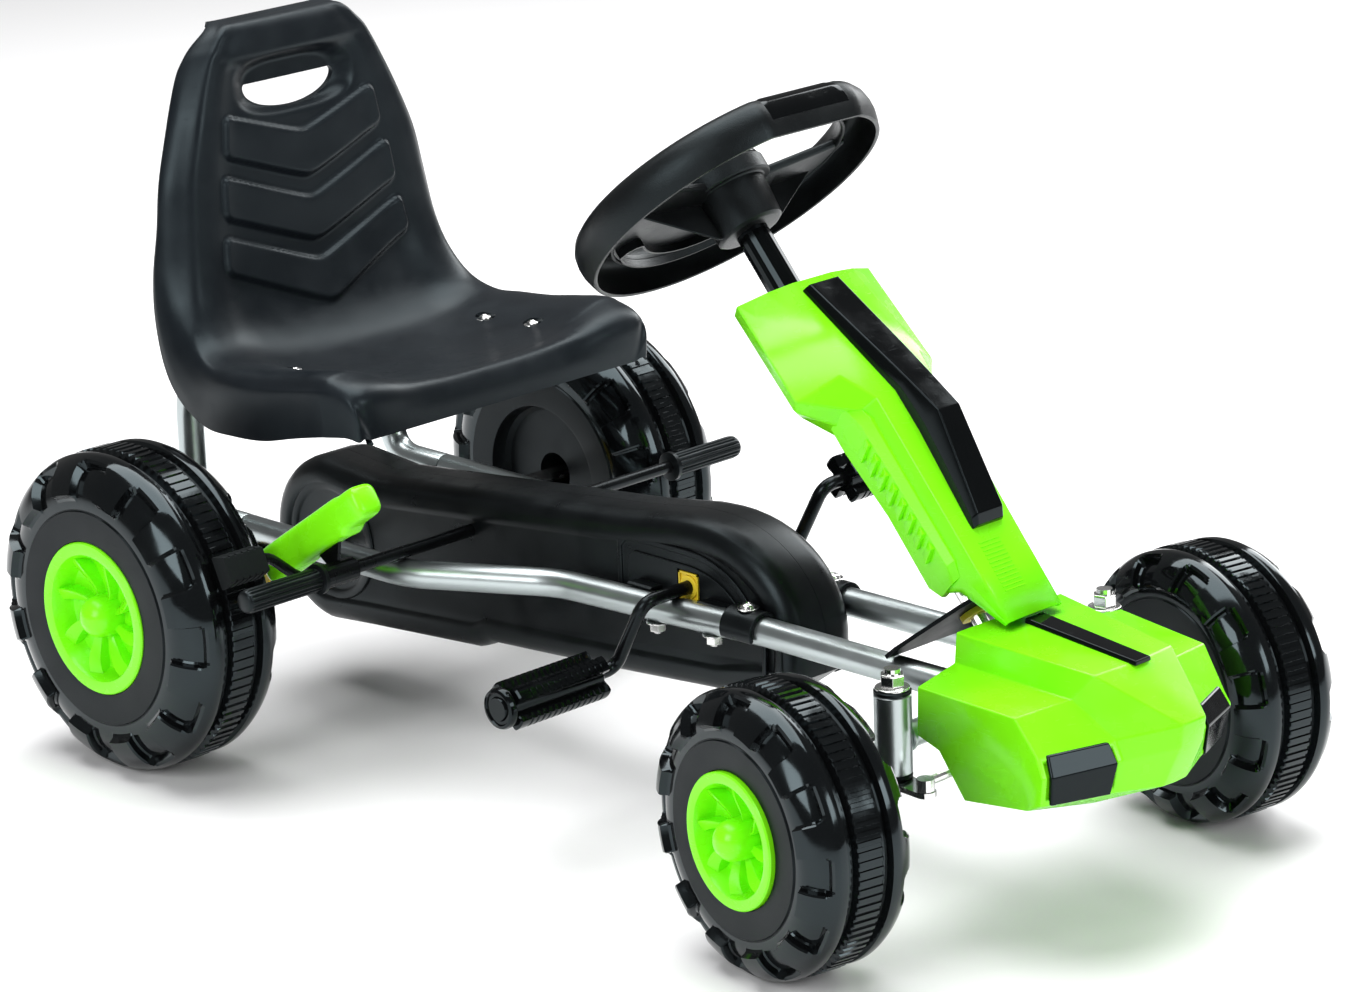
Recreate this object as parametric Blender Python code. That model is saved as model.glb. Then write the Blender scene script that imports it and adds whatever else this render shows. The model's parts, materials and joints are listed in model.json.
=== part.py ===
"""Children's pedal go kart with a chain drive, built as separate pieces.

Metres, +Z up. The kart travels towards -Y, and the rider's right hand is at -X.
The origin is on the floor, under the middle of the kart's length and width.
The front wheels rest steered a little to the rider's right.
"""

import math

import bmesh
import bpy
from mathutils import Matrix, Vector

# Driving dimensions
WHEELBASE = 0.686
REAR_AXLE_Y = 0.3695
FRONT_AXLE_Y = REAR_AXLE_Y - WHEELBASE
REAR_WHEEL_R = 0.1275
FRONT_WHEEL_R = 0.1042
REAR_WHEEL_X = 0.2374
KINGPIN_X = 0.113
FRONT_WHEEL_OFFSET = 0.0985
WHEEL_REST_STEER = math.radians(-9.6)
STEERING_RATIO = 1.5
TUBE_R = 0.011
AXLE_R = 0.006
GAP = 0.0003

# Steering column: the wheel's centre, and the column's direction up to it
COLUMN_TOP = Vector((0.0, -0.063, 0.4675))
COLUMN_SLOPE = math.radians(49.0)
COLUMN_UP = Vector((0.0, math.cos(COLUMN_SLOPE), math.sin(COLUMN_SLOPE)))
COLUMN_FORE = Vector((0.0, -math.sin(COLUMN_SLOPE), math.cos(COLUMN_SLOPE)))
COLUMN_LENGTH = 0.460
STEERING_RING_R = 0.1195
STEERING_RING_FLAT = 0.1105
PITMAN_LENGTH = 0.054
KNUCKLE_ARM = 0.036

# Drive
CRANK = Vector((0.0, -0.0345, 0.1755))
CRANK_THROW = 0.0634
CRANK_ANGLE = math.radians(-63.0)
CRANK_ROD_R = 0.0052
CHAIN_PITCH = 0.0127
CHAINRING_TEETH = 21
SPROCKET_TEETH = 14
COVER_HALF_WIDTH = 0.0335

# Heights and places along the frame
TUBE_X_FRONT = 0.045
TUBE_X_REAR = 0.106
FOOT_BAR = Vector((0.0, 0.2095, 0.1695))
FOOT_BAR_HALF = 0.262
BEAM_Z = 0.1435


def clear_scene():
    for obj in list(bpy.data.objects):
        bpy.data.objects.remove(obj)


def make_material(name, colour, roughness, metallic=0.0):
    mat = bpy.data.materials.new(name)
    mat.use_nodes = True
    shader = mat.node_tree.nodes["Principled BSDF"]
    shader.inputs["Base Color"].default_value = (*colour, 1.0)
    shader.inputs["Roughness"].default_value = roughness
    shader.inputs["Metallic"].default_value = metallic
    mat.diffuse_color = (*colour, 1.0)
    return mat


def make_axis(name, place, turn=None):
    """An empty on a joint's axis, which carries the pieces that turn about it."""
    axis = bpy.data.objects.new(name, None)
    axis.location = place
    if turn is not None:
        axis.rotation_mode = "QUATERNION"
        axis.rotation_quaternion = turn
    bpy.context.scene.collection.objects.link(axis)
    return axis


def add_piece(name, bm, mat, axis=None, smooth=True):
    """Turns a bmesh in world coordinates into a piece, carried by its joint's axis."""
    bmesh.ops.recalc_face_normals(bm, faces=bm.faces)
    if axis is not None:
        bmesh.ops.translate(bm, vec=-axis.location, verts=bm.verts)
    mesh = bpy.data.meshes.new(name)
    bm.to_mesh(mesh)
    bm.free()
    if smooth:
        mesh.shade_smooth()
        mesh.set_sharp_from_angle(angle=math.radians(35.0))
    mesh.materials.append(mat)
    obj = bpy.data.objects.new(name, mesh)
    obj.parent = axis
    bpy.context.scene.collection.objects.link(obj)
    return obj


def cut(obj, bm, name, operation="DIFFERENCE"):
    """Cuts a closed bmesh out of a piece, or joins it on."""
    tool = add_piece(name, bm, obj.data.materials[0], obj.parent, smooth=False)
    tool.hide_render = True
    tool.display_type = "WIRE"
    modifier = obj.modifiers.new(name, "BOOLEAN")
    modifier.operation = operation
    modifier.object = tool
    modifier.solver = "EXACT"


def loft(rings, closed=False):
    """A closed body through rings of points; the ends are capped unless the loft runs in a loop."""
    bm = bmesh.new()
    rows = [[bm.verts.new(point) for point in ring] for ring in rings]
    count = len(rows[0])
    pairs = list(zip(rows, rows[1:]))
    if closed:
        pairs.append((rows[-1], rows[0]))
    for low, high in pairs:
        for i in range(count):
            j = (i + 1) % count
            bm.faces.new((low[i], low[j], high[j], high[i]))
    if not closed:
        bm.faces.new(rows[0])
        bm.faces.new(rows[-1])
    return bm


def round_corners(points, radius, steps=5):
    """The path through the points with each inner corner swept by an arc."""
    points = [Vector(point) for point in points]
    path = [points[0]]
    for before, corner, after in zip(points, points[1:], points[2:]):
        into = (before - corner).normalized()
        out = (after - corner).normalized()
        turn = math.pi - into.angle(out)
        reach = min(radius * math.tan(turn / 2.0), 0.45 * (before - corner).length,
                    0.45 * (after - corner).length)
        for step in range(steps + 1):
            share = step / steps
            start = corner + into * reach * (1.0 - share)
            end = corner + out * reach * share
            path.append(start.lerp(end, share))
    path.append(points[-1])
    return path


def sweep(path, radius, sides=10):
    """A round rod along a path."""
    path = [Vector(point) for point in path]
    tangent = (path[1] - path[0]).normalized()
    side = tangent.orthogonal().normalized()
    rings = []
    for index, point in enumerate(path):
        before = path[max(index - 1, 0)]
        after = path[min(index + 1, len(path) - 1)]
        heading = (after - before).normalized()
        side = tangent.rotation_difference(heading) @ side
        tangent = heading
        other = tangent.cross(side)
        ring = []
        for step in range(sides):
            angle = 2.0 * math.pi * step / sides
            ring.append(point + radius * (math.cos(angle) * side + math.sin(angle) * other))
        rings.append(ring)
    return loft(rings)


def turn_profile(profile, centre, axis, segments=32):
    """Revolves a closed outline of (radius, distance along the axis) points."""
    axis = Vector(axis).normalized()
    side = axis.orthogonal().normalized()
    other = axis.cross(side)
    centre = Vector(centre)
    bm = bmesh.new()
    columns = []
    for radius, along in profile:
        if radius < 1e-6:
            columns.append([bm.verts.new(centre + axis * along)] * segments)
            continue
        ring = []
        for step in range(segments):
            angle = 2.0 * math.pi * step / segments
            spoke = math.cos(angle) * side + math.sin(angle) * other
            ring.append(bm.verts.new(centre + axis * along + spoke * radius))
        columns.append(ring)
    for low, high in zip(columns, columns[1:] + columns[:1]):
        for i in range(segments):
            j = (i + 1) % segments
            corners = list(dict.fromkeys((low[i], low[j], high[j], high[i])))
            if len(corners) > 2:
                bm.faces.new(corners)
    return bm


def bar(centre, axis, radius, start, end, segments=16):
    """A plain round bar between two distances along an axis."""
    return turn_profile([(0.0, start), (radius, start), (radius, end), (0.0, end)],
                        centre, axis, segments)


def sleeve(centre, axis, outer, inner, start, end, segments=20):
    return turn_profile([(inner, start), (outer, start), (outer, end), (inner, end)],
                        centre, axis, segments)


def prism(outline, low, high, along=0):
    """Extrudes a closed 2D outline along X (0), Y (1) or Z (2)."""
    def lift(a, b, height):
        values = [a, b]
        values.insert(along, height)
        return Vector(values)
    return loft([[lift(a, b, low) for a, b in outline], [lift(a, b, high) for a, b in outline]])


def box(low, high):
    outline = [(low[0], low[1]), (high[0], low[1]), (high[0], high[1]), (low[0], high[1])]
    return prism(outline, low[2], high[2], along=2)


def arc(centre, radius, start, end, steps):
    """Points on an arc, in degrees, in a plane's own two axes."""
    points = []
    for step in range(steps + 1):
        angle = math.radians(start + (end - start) * step / steps)
        points.append((centre[0] + radius * math.cos(angle), centre[1] + radius * math.sin(angle)))
    return points


def mirrored(points):
    return [(-x, y, z) for x, y, z in points]


SIDES = (("right", -1.0), ("left", 1.0))


def main_tube_path(side):
    """The long tube from the front beam to the rear bracket, splayed out behind the crank."""
    front = side * TUBE_X_FRONT
    rear = side * TUBE_X_REAR
    points = [(front, FRONT_AXLE_Y - 0.0165, 0.1645), (front, -0.13, 0.1635),
              (front, -0.02, 0.1585), (side * 0.049, 0.09, 0.156),
              (side * 0.103, 0.205, 0.153), (rear, 0.3925, 0.153)]
    return round_corners(points, 0.09, 4)


def build_frame(steel, black):
    for name, side in SIDES:
        add_piece(f"main_tube_{name}", sweep(main_tube_path(side), TUBE_R), steel)
        build_seat_support(name, side, steel)
        build_axle_bracket(name, side, steel, black)
    build_front_beam(steel)
    build_column_bracket(black)


def build_seat_support(name, side, steel):
    """The tube that carries on from the main tube, rises behind the axle and runs under the seat."""
    x = side * TUBE_X_REAR
    top = 0.2765
    points = [(x, 0.3925 + GAP, 0.153), (x, 0.4585, 0.153), (x, 0.4585, top), (side * 0.1005, 0.250, top)]
    add_piece(f"seat_support_{name}", sweep(round_corners(points, 0.045, 6), TUBE_R), steel)


def build_axle_bracket(name, side, steel, black):
    """A hanger under the main tube that holds the rear axle's bush."""
    x = side * TUBE_X_REAR
    centre = (0.0, REAR_AXLE_Y, REAR_WHEEL_R)
    outline = arc((REAR_AXLE_Y, REAR_WHEEL_R), 0.0165, 190.0, 350.0, 8)
    top = 0.153 - TUBE_R - GAP
    outline += [(REAR_AXLE_Y + 0.0165, top), (REAR_AXLE_Y - 0.0165, top)]
    hanger = add_piece(f"axle_bracket_{name}", prism(outline, x - 0.009, x + 0.009), black)
    cut(hanger, bar(centre, (1, 0, 0), 0.0125, x - 0.02, x + 0.02, 20), f"cut_bush_{name}")


def build_front_beam(steel):
    """The cross beam, with a kingpin tube welded on each end."""
    reach = KINGPIN_X - 0.0110
    beam = add_piece("front_beam", bar((0.0, FRONT_AXLE_Y, BEAM_Z), (1, 0, 0), 0.0095, -reach, reach), steel)
    for name, side in SIDES:
        place = (side * KINGPIN_X, FRONT_AXLE_Y, 0.0)
        cut(beam, sleeve(place, (0, 0, 1), 0.0135, 0.0085, 0.121, 0.179), f"join_kingpin_tube_{name}", "UNION")


def bracket_foot():
    """The middle of the column bracket's lower edge, on top of the main tubes."""
    centre = COLUMN_TOP - COLUMN_UP * 0.3485
    return centre - COLUMN_FORE * 0.0437


def build_column_bracket(black):
    """A sloping plate on both main tubes, square to the column, which also carries the column cover."""
    rows = [(0.0, 0.057), (0.012, 0.057), (0.062, 0.030), (0.070, 0.0230), (0.0885, 0.0195)]
    outline = [(-half, rise) for rise, half in rows] + [(half, rise) for rise, half in reversed(rows)]
    rings = []
    for depth in (0.0, 0.003):
        rings.append([bracket_foot() + Vector((x, 0, 0)) + COLUMN_FORE * rise + COLUMN_UP * depth
                      for x, rise in outline])
    plate = add_piece("column_bracket", loft(rings), black)
    cut(plate, bar(COLUMN_TOP, COLUMN_UP, 0.0122, -0.50, -0.20, 20), "cut_column_hole")


def build_column_bush(yellow):
    along = -0.3485
    profile = [(0.0066, along - 0.004), (0.0119, along - 0.004), (0.0119, along + 0.0033),
               (0.0155, along + 0.0033), (0.0155, along + 0.006), (0.0066, along + 0.006)]
    add_piece("column_bush", turn_profile(profile, COLUMN_TOP, COLUMN_UP, 20), yellow)


def seat_profile():
    """Stations up the middle of the seat: place, half width, rim height, rim depth and flare."""
    return [
        # y,      z,      half width, rim height, rim depth, flare of the edge
        (0.1950, 0.2730, 0.1470, 0.000, 0.004, 0.00),
        (0.1975, 0.2880, 0.1530, 0.006, 0.012, 0.00),
        (0.2060, 0.2985, 0.1570, 0.013, 0.030, 0.00),
        (0.2250, 0.2950, 0.1590, 0.023, 0.044, 0.00),
        (0.2600, 0.2880, 0.1600, 0.026, 0.052, 0.00),
        (0.3000, 0.2845, 0.1610, 0.023, 0.055, 0.00),
        (0.3400, 0.2850, 0.1610, 0.019, 0.056, 0.00),
        (0.3700, 0.2915, 0.1590, 0.012, 0.054, 0.15),
        (0.3930, 0.3090, 0.1550, 0.004, 0.046, 0.45),
        (0.4080, 0.3350, 0.1500, 0.000, 0.036, 0.75),
        (0.4160, 0.3650, 0.1455, -0.002, 0.028, 1.00),
        (0.4200, 0.4000, 0.1390, -0.003, 0.023, 1.00),
        (0.4240, 0.4350, 0.1325, -0.003, 0.021, 1.00),
        (0.4280, 0.4700, 0.1200, -0.003, 0.021, 1.00),
        (0.4330, 0.5050, 0.1050, -0.003, 0.021, 1.00),
        (0.4370, 0.5270, 0.0935, -0.002, 0.020, 1.00),
        (0.4400, 0.5380, 0.0830, -0.002, 0.018, 1.00),
        (0.4430, 0.5440, 0.0730, -0.001, 0.014, 1.00),
        (0.4500, 0.5485, 0.0640, -0.001, 0.010, 1.00),
        (0.4600, 0.5500, 0.0590, 0.000, 0.006, 1.00),
        (0.4700, 0.5470, 0.0570, 0.000, 0.003, 1.00),
    ]


def rim_section(share, half, rise, depth, flare):
    """Across the seat: a dished middle and a rim; its edge stands upright on the pan and flares on the back."""
    # share of the half width, share of the rim height, share of the rim depth
    pan = [(0.0, 0.0, 0.0), (0.30, 0.06, 0.0), (0.55, 0.34, 0.0), (0.74, 0.82, 0.0), (0.86, 1.0, 0.0),
           (0.94, 0.93, 0.0), (0.985, 0.62, 0.0), (1.0, 1.0, 0.30), (1.0, 1.0, 0.65), (0.995, 1.0, 1.0)]
    back = [(0.0, 0.0, 0.0), (0.30, 0.05, 0.0), (0.55, 0.30, 0.0), (0.70, 0.80, 0.0), (0.79, 1.0, 0.0),
            (0.86, 1.0, 0.08), (0.92, 1.0, 0.26), (0.97, 1.0, 0.54), (0.995, 1.0, 0.84), (0.99, 1.0, 1.0)]
    place = share * (len(pan) - 1)
    index = min(int(place), len(pan) - 2)
    mix = place - index
    knots = []
    for flat, flared in zip(pan[index:index + 2], back[index:index + 2]):
        across, up, down = (a + (b - a) * flare for a, b in zip(flat, flared))
        knots.append((across * half, up * rise - down * depth))
    low, high = knots
    return low[0] + (high[0] - low[0]) * mix, low[1] + (high[1] - low[1]) * mix


def build_seat(plastic):
    """One moulded shell for the seat's pan and back, with a grip hole and four bolt slots."""
    stations = seat_profile()
    across = 9
    bm = bmesh.new()
    rows = []
    for index, (y, z, half, rise, depth, flare) in enumerate(stations):
        before = stations[max(index - 1, 0)]
        after = stations[min(index + 1, len(stations) - 1)]
        slope = Vector((0.0, after[0] - before[0], after[1] - before[1])).normalized()
        normal = Vector((0.0, -slope.z, slope.y))
        row = []
        for step in range(-across, across + 1):
            x, lift = rim_section(abs(step) / across, half, rise, depth, flare)
            place = Vector((math.copysign(x, step), y, z)) + normal * lift
            row.append(bm.verts.new(place))
        rows.append(row)
    for low, high in zip(rows, rows[1:]):
        for i in range(2 * across):
            bm.faces.new((low[i], low[i + 1], high[i + 1], high[i]))
    seat = add_piece("seat_shell", bm, plastic)
    shell = seat.modifiers.new("wall", "SOLIDIFY")
    shell.thickness = 0.0045
    shell.offset = -1.0
    shell.use_even_offset = True
    hole = arc((0.036, 0.486), 0.013, -90.0, 90.0, 6) + arc((-0.036, 0.486), 0.013, 90.0, 270.0, 6)
    cut(seat, prism(hole, 0.36, 0.52, along=1), "cut_grip_hole")
    for name, x, y in seat_slots():
        slot = arc((x, y + 0.006), 0.0042, 0.0, 180.0, 5) + arc((x, y - 0.006), 0.0042, 180.0, 360.0, 5)
        cut(seat, prism(slot, 0.26, 0.34, along=2), f"cut_slot_{name}")


def seat_slots():
    return [(f"{place}_{name}", side * 0.1003, y) for name, side in SIDES
            for place, y in (("front", 0.2715), ("rear", 0.3285))]


def tyre_outline(radius, face, disc, rim):
    """A hollow blow-moulded wheel: a rim pocket outside, a ribbed tread, and a shallow web inboard."""
    wall = 0.004
    band = 0.0095
    lug = radius - 0.0045
    shoulder = 0.955 * radius
    pocket = rim + 0.0006
    outside = [(0.0166, 0.026), (pocket, 0.026), (pocket, face + 0.0005), (disc, face),
               (shoulder, face - 0.011), (lug, 0.030), (lug, band + 0.001), (radius, band),
               (radius, -band), (lug, -band - 0.001), (lug, -0.030), (shoulder, 0.011 - face),
               (disc, -face), (rim, -face + 0.004)]
    inside = [(rim - 0.003, -face + 0.016), (0.0176, -face + 0.016), (0.0176, -face + 0.0195),
              (rim - 0.002, -face + 0.0195), (rim + 0.003, -face + 0.004 + wall), (disc - 0.001, -face + wall),
              (shoulder - wall, 0.013 - face), (lug - wall, -0.028), (lug - wall, 0.028),
              (shoulder - wall, face - 0.013), (disc - 0.001, face - wall),
              (pocket + wall, face - wall), (pocket + wall, 0.026 - wall), (0.0166, 0.026 - wall)]
    return outside + inside


def rim_outline(rim, face):
    """The dished rim with its hub sleeve and domed cap; the bore is blind under the cap."""
    return [(0.0, 0.0488), (AXLE_R + GAP, 0.0488), (AXLE_R + GAP, -0.034), (0.0160, -0.034),
            (0.0160, 0.0263), (rim, 0.0263), (rim, face + 0.0015), (rim - 0.005, face + 0.0015),
            (rim - 0.011, 0.035), (0.021, 0.036), (0.0155, 0.046), (0.0120, 0.0525), (0.0, 0.0555)]


def build_wheel(name, centre, outward, radius, face, disc, rim, tyre, green, axis):
    add_piece(f"tyre_{name}", turn_profile(tyre_outline(radius, face, disc, rim), centre, outward, 28),
              tyre, axis)
    add_piece(f"rim_{name}", turn_profile(rim_outline(rim, face), centre, outward, 20), green, axis)


def build_rear_axle(steel, zinc, yellow, tyre, green):
    centre = Vector((0.0, REAR_AXLE_Y, REAR_WHEEL_R))
    axis = make_axis("rear_axle_axis", centre)
    reach = REAR_WHEEL_X + 0.0485
    add_piece("rear_axle", bar(centre, (1, 0, 0), AXLE_R, -reach, reach, 14), zinc, axis)
    for name, side in SIDES:
        place = centre + Vector((side * REAR_WHEEL_X, 0, 0))
        build_wheel(f"rear_{name}", place, (side, 0, 0), REAR_WHEEL_R, 0.0456, 0.088, 0.0608,
                    tyre, green, axis)
        x = side * TUBE_X_REAR
        bush = [(AXLE_R + GAP, -0.0115), (0.0122, -0.0115), (0.0122, 0.0093), (0.0160, 0.0093),
                (0.0160, 0.0120), (AXLE_R + GAP, 0.0120)]
        add_piece(f"axle_bush_{name}", turn_profile(bush, (x, REAR_AXLE_Y, REAR_WHEEL_R), (side, 0, 0), 20),
                  yellow)
    root = pitch_radius(SPROCKET_TEETH) - 0.0044
    profile = [(AXLE_R + GAP, -0.008), (0.012, -0.008), (0.012, -0.0013), (root, -0.0013),
               (root, 0.0013), (0.012, 0.0013), (0.012, 0.008), (AXLE_R + GAP, 0.008)]
    add_piece("axle_sprocket", turn_profile(profile, centre, (1, 0, 0), 20), steel, axis)


def pitch_radius(teeth):
    return CHAIN_PITCH / (2.0 * math.sin(math.pi / teeth))


def chain_path(offset):
    """The chain's loop round both wheels, at a distance from their pitch circles."""
    front = (CRANK.y, CRANK.z)
    rear = (REAR_AXLE_Y, REAR_WHEEL_R)
    big = pitch_radius(CHAINRING_TEETH)
    small = pitch_radius(SPROCKET_TEETH)
    run = math.dist(front, rear)
    lean = math.degrees(math.atan2(rear[1] - front[1], rear[0] - front[0]))
    wrap = math.degrees(math.acos((big - small) / run))
    return (arc(front, big + offset, lean + wrap, lean + 360.0 - wrap, 20)
            + arc(rear, small + offset, lean - wrap, lean + wrap, 14))


def build_chain(steel):
    outer = chain_path(0.0040)
    inner = chain_path(-0.0040)
    rings = []
    for (oy, oz), (iy, iz) in zip(outer, inner):
        rings.append([Vector((-0.0045, oy, oz)), Vector((0.0045, oy, oz)),
                      Vector((0.0045, iy, iz)), Vector((-0.0045, iy, iz))])
    add_piece("chain", loft(rings, closed=True), steel, smooth=False)


def cover_outline(inset=0.0):
    """The chain cover's side outline: a tall dome round the crank and a round tail at the rear axle."""
    tail = arc((0.3835, 0.1240), 0.0700 - inset, -84.0, 84.0, 12)
    top = [(0.330, 0.1885 - inset), (0.250, 0.1965 - inset), (0.100, 0.2120 - inset)]
    dome = []
    for degrees in range(82, 191, 12):
        a = math.radians(degrees)
        squarer = 1.0 + 0.05 * max(0.0, math.sin(2.0 * (a - math.pi / 2.0)))
        dome.append((-0.032 + (0.112 - inset) * squarer * math.cos(a),
                     0.1385 + (0.0890 - inset) * squarer * math.sin(a)))
    belly = [(-0.118 + inset * 0.7, 0.1060 + inset), (-0.060, 0.0960 + inset), (0.060, 0.0860 + inset),
             (0.196, 0.0765 + inset), (0.214, 0.0690 + inset), (0.340, 0.0590 + inset)]
    return tail + top + dome + belly


def build_chain_cover(black, yellow):
    """Two moulded halves that meet on the middle plane, each with a saddle over its main tube."""
    for name, side in SIDES:
        wide = side * COVER_HALF_WIDTH
        near = side * GAP / 2.0
        half = add_piece(f"chain_cover_{name}", prism(cover_outline(), *sorted((wide, near))), black)
        hollow = prism(cover_outline(0.0028), *sorted((wide - side * 0.0028, -side * 0.01)))
        cut(half, hollow, f"cut_cover_hollow_{name}")
        window = [(CRANK.y - 0.0105, CRANK.z - 0.0100), (CRANK.y + 0.0105, CRANK.z - 0.0100),
                  (CRANK.y + 0.0105, CRANK.z + 0.0155), (CRANK.y - 0.0105, CRANK.z + 0.0155)]
        cut(half, prism(window, *sorted((side * 0.025, side * 0.04))), f"cut_window_{name}")
        axle = (0.0, REAR_AXLE_Y, REAR_WHEEL_R)
        cut(half, bar(axle, (side, 0, 0), 0.0140, 0.02, 0.05), f"cut_axle_hole_{name}")
        cut(half, bar(FOOT_BAR, (side, 0, 0), 0.0062, 0.02, 0.05), f"cut_bar_hole_{name}")
        cut(half, saddle_strap(side), f"join_saddle_{name}", "UNION")
        build_bush_plate(name, side, yellow)


def saddle_strap(side):
    """The strap that hooks over the main tube in front of the crank."""
    centre = (TUBE_X_FRONT, 0.1628)
    outline = arc(centre, 0.0152, 148.0, -25.0, 12) + arc(centre, 0.0118, -25.0, 160.0, 12)
    outline.append((COVER_HALF_WIDTH - 0.0015, 0.1668))
    return prism([(side * x, z) for x, z in outline], -0.1245, -0.0925, along=1)


def build_bush_plate(name, side, yellow):
    """The square plastic plate in the cover's window, which the crank turns in."""
    low, high = sorted((side * 0.0308, side * 0.0338))
    edge = 0.0102
    outline = [(CRANK.y - edge, CRANK.z - 0.0097), (CRANK.y - edge, CRANK.z + 0.0152),
               (CRANK.y + edge, CRANK.z + 0.0152), (CRANK.y + edge, CRANK.z - 0.0097)]
    plate = add_piece(f"crank_bush_{name}", prism(outline, low, high), yellow, smooth=False)
    collar = sleeve(CRANK, (side, 0, 0), 0.0085, 0.0050, 0.0265, 0.0330)
    cut(plate, collar, f"join_collar_{name}", "UNION")
    cut(plate, bar(CRANK, (side, 0, 0), CRANK_ROD_R + GAP, 0.02, 0.05), f"cut_crank_bore_{name}")


def pedal_centre(side):
    turn = CRANK_ANGLE if side < 0 else CRANK_ANGLE + math.pi
    return CRANK + Vector((0.0, math.cos(turn) * CRANK_THROW, math.sin(turn) * CRANK_THROW))


def build_crank(black, steel):
    """One bent rod with both pedal pins, and the chainring welded at its middle."""
    axis = make_axis("crank_axis", CRANK)
    right = pedal_centre(-1.0)
    left = pedal_centre(1.0)
    points = [(-0.1985, right.y, right.z), (-0.0845, right.y, right.z), (-0.0800, CRANK.y, CRANK.z),
              (0.0800, CRANK.y, CRANK.z), (0.0845, left.y, left.z), (0.1985, left.y, left.z)]
    add_piece("crankshaft", sweep(round_corners(points, 0.013, 5), CRANK_ROD_R, 12), black, axis)
    root = pitch_radius(CHAINRING_TEETH) - 0.0044
    profile = [(CRANK_ROD_R + GAP, -0.006), (0.011, -0.006), (0.011, -0.0013), (root, -0.0013),
               (root, 0.0013), (0.011, 0.0013), (0.011, 0.006), (CRANK_ROD_R + GAP, 0.006)]
    add_piece("chainring", turn_profile(profile, CRANK, (1, 0, 0), 24), steel, axis)


def pedal_section():
    """A four-lobed tread block round the pedal pin."""
    points = []
    for lobe in range(4):
        middle = math.radians(45.0 + 90.0 * lobe)
        for offset, radius in ((-0.50, 0.0120), (-0.26, 0.0185), (0.26, 0.0185), (0.50, 0.0120)):
            angle = middle + offset
            points.append((math.cos(angle) * radius, math.sin(angle) * radius))
    return points


def build_pedals(plastic):
    for name, side in SIDES:
        centre = pedal_centre(side)
        axis = make_axis(f"pedal_axis_{name}", centre)
        block = [(centre.y + a, centre.z + b) for a, b in pedal_section()]
        pedal = add_piece(f"pedal_{name}", prism(block, *sorted((side * 0.104, side * 0.196))), plastic, axis)
        cut(pedal, bar(centre, (side, 0, 0), CRANK_ROD_R + GAP, 0.09, 0.21), f"cut_pin_bore_{name}")
        cap = [(0.0, 0.1990), (0.0150, 0.1990), (0.0160, 0.2010), (0.0150, 0.2035), (0.0, 0.2045)]
        add_piece(f"pedal_cap_{name}", turn_profile(cap, centre, (side, 0, 0), 20), plastic, axis)


def build_foot_bar(black, grip):
    """The cross bar on the main tubes, with a ribbed foot peg on each end."""
    reach = FOOT_BAR_HALF - 0.004
    add_piece("foot_bar", bar(FOOT_BAR, (1, 0, 0), 0.005, -reach, reach, 14), black)
    for name, side in SIDES:
        profile = [(0.0, reach + GAP), (0.005 + GAP, reach + GAP), (0.005 + GAP, 0.186), (0.0125, 0.186),
                   (0.0125, 0.190), (0.0105, 0.191), (0.0105, FOOT_BAR_HALF - 0.003),
                   (0.0085, FOOT_BAR_HALF), (0.0, FOOT_BAR_HALF)]
        add_piece(f"foot_peg_{name}", turn_profile(profile, FOOT_BAR, (side, 0, 0), 18), grip)


BRAKE_X = -0.168
BRAKE_CLEARANCE = 0.005


def build_brake(black, green, rubber):
    """A hand lever that turns on the foot bar and presses a pad on the rear right tyre."""
    axis = make_axis("brake_axis", Vector((BRAKE_X, FOOT_BAR.y, FOOT_BAR.z)))
    hub = sleeve(FOOT_BAR, (1, 0, 0), 0.0095, 0.005 + GAP, BRAKE_X - 0.0165, BRAKE_X + 0.014)
    lever = add_piece("brake_lever", hub, black, axis)
    base = Vector((0.0, FOOT_BAR.y, FOOT_BAR.z))
    along = Vector((0.0, -0.84, 0.54)).normalized()
    across = Vector((0.0, 0.54, 0.84)).normalized()
    low, high = BRAKE_X - 0.0015, BRAKE_X + 0.0015
    def flat(points):
        return [((base + along * a + across * b).y, (base + along * a + across * b).z) for a, b in points]
    web = flat([(-0.006, 0.0070), (0.006, 0.0070), (0.018, 0.021), (0.040, 0.0215), (0.040, 0.0335),
                (-0.072, 0.0335), (-0.072, 0.0215), (-0.012, 0.021)])
    cut(lever, prism(web, low, high), "join_web", "UNION")
    tyre_centre = Vector((0.0, REAR_AXLE_Y, REAR_WHEEL_R))
    away = Vector((0.0, -0.909, 0.417))
    beside = Vector((0.0, 0.417, 0.909))
    tip = tyre_centre + away * (REAR_WHEEL_R + BRAKE_CLEARANCE + 0.0110)
    arm = round_corners([(BRAKE_X - 0.008, 0.2155, 0.1640), (BRAKE_X - 0.012, 0.2270, 0.1620),
                         (BRAKE_X - 0.024, 0.2330, 0.1690), (BRAKE_X - 0.044, tip.y, tip.z),
                         (BRAKE_X - 0.085, tip.y, tip.z)], 0.02, 4)
    cut(lever, sweep(arm, 0.0042, 12), "join_pad_arm", "UNION")
    build_brake_grip(base, along, across, green, axis)
    face = tyre_centre + away * (REAR_WHEEL_R + BRAKE_CLEARANCE)
    corners = [face + beside * 0.013, face - beside * 0.013, face - beside * 0.010 + away * 0.0175,
               face + beside * 0.010 + away * 0.0175]
    pad = [(corner.y, corner.z) for corner in corners]
    shoe = add_piece("brake_pad", prism(pad, -0.256, -0.218), rubber, axis, smooth=False)
    cut(shoe, bar((0.0, tip.y, tip.z), (1, 0, 0), 0.0045, -0.2535, -0.20, 14), "cut_pad_bore")


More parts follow.
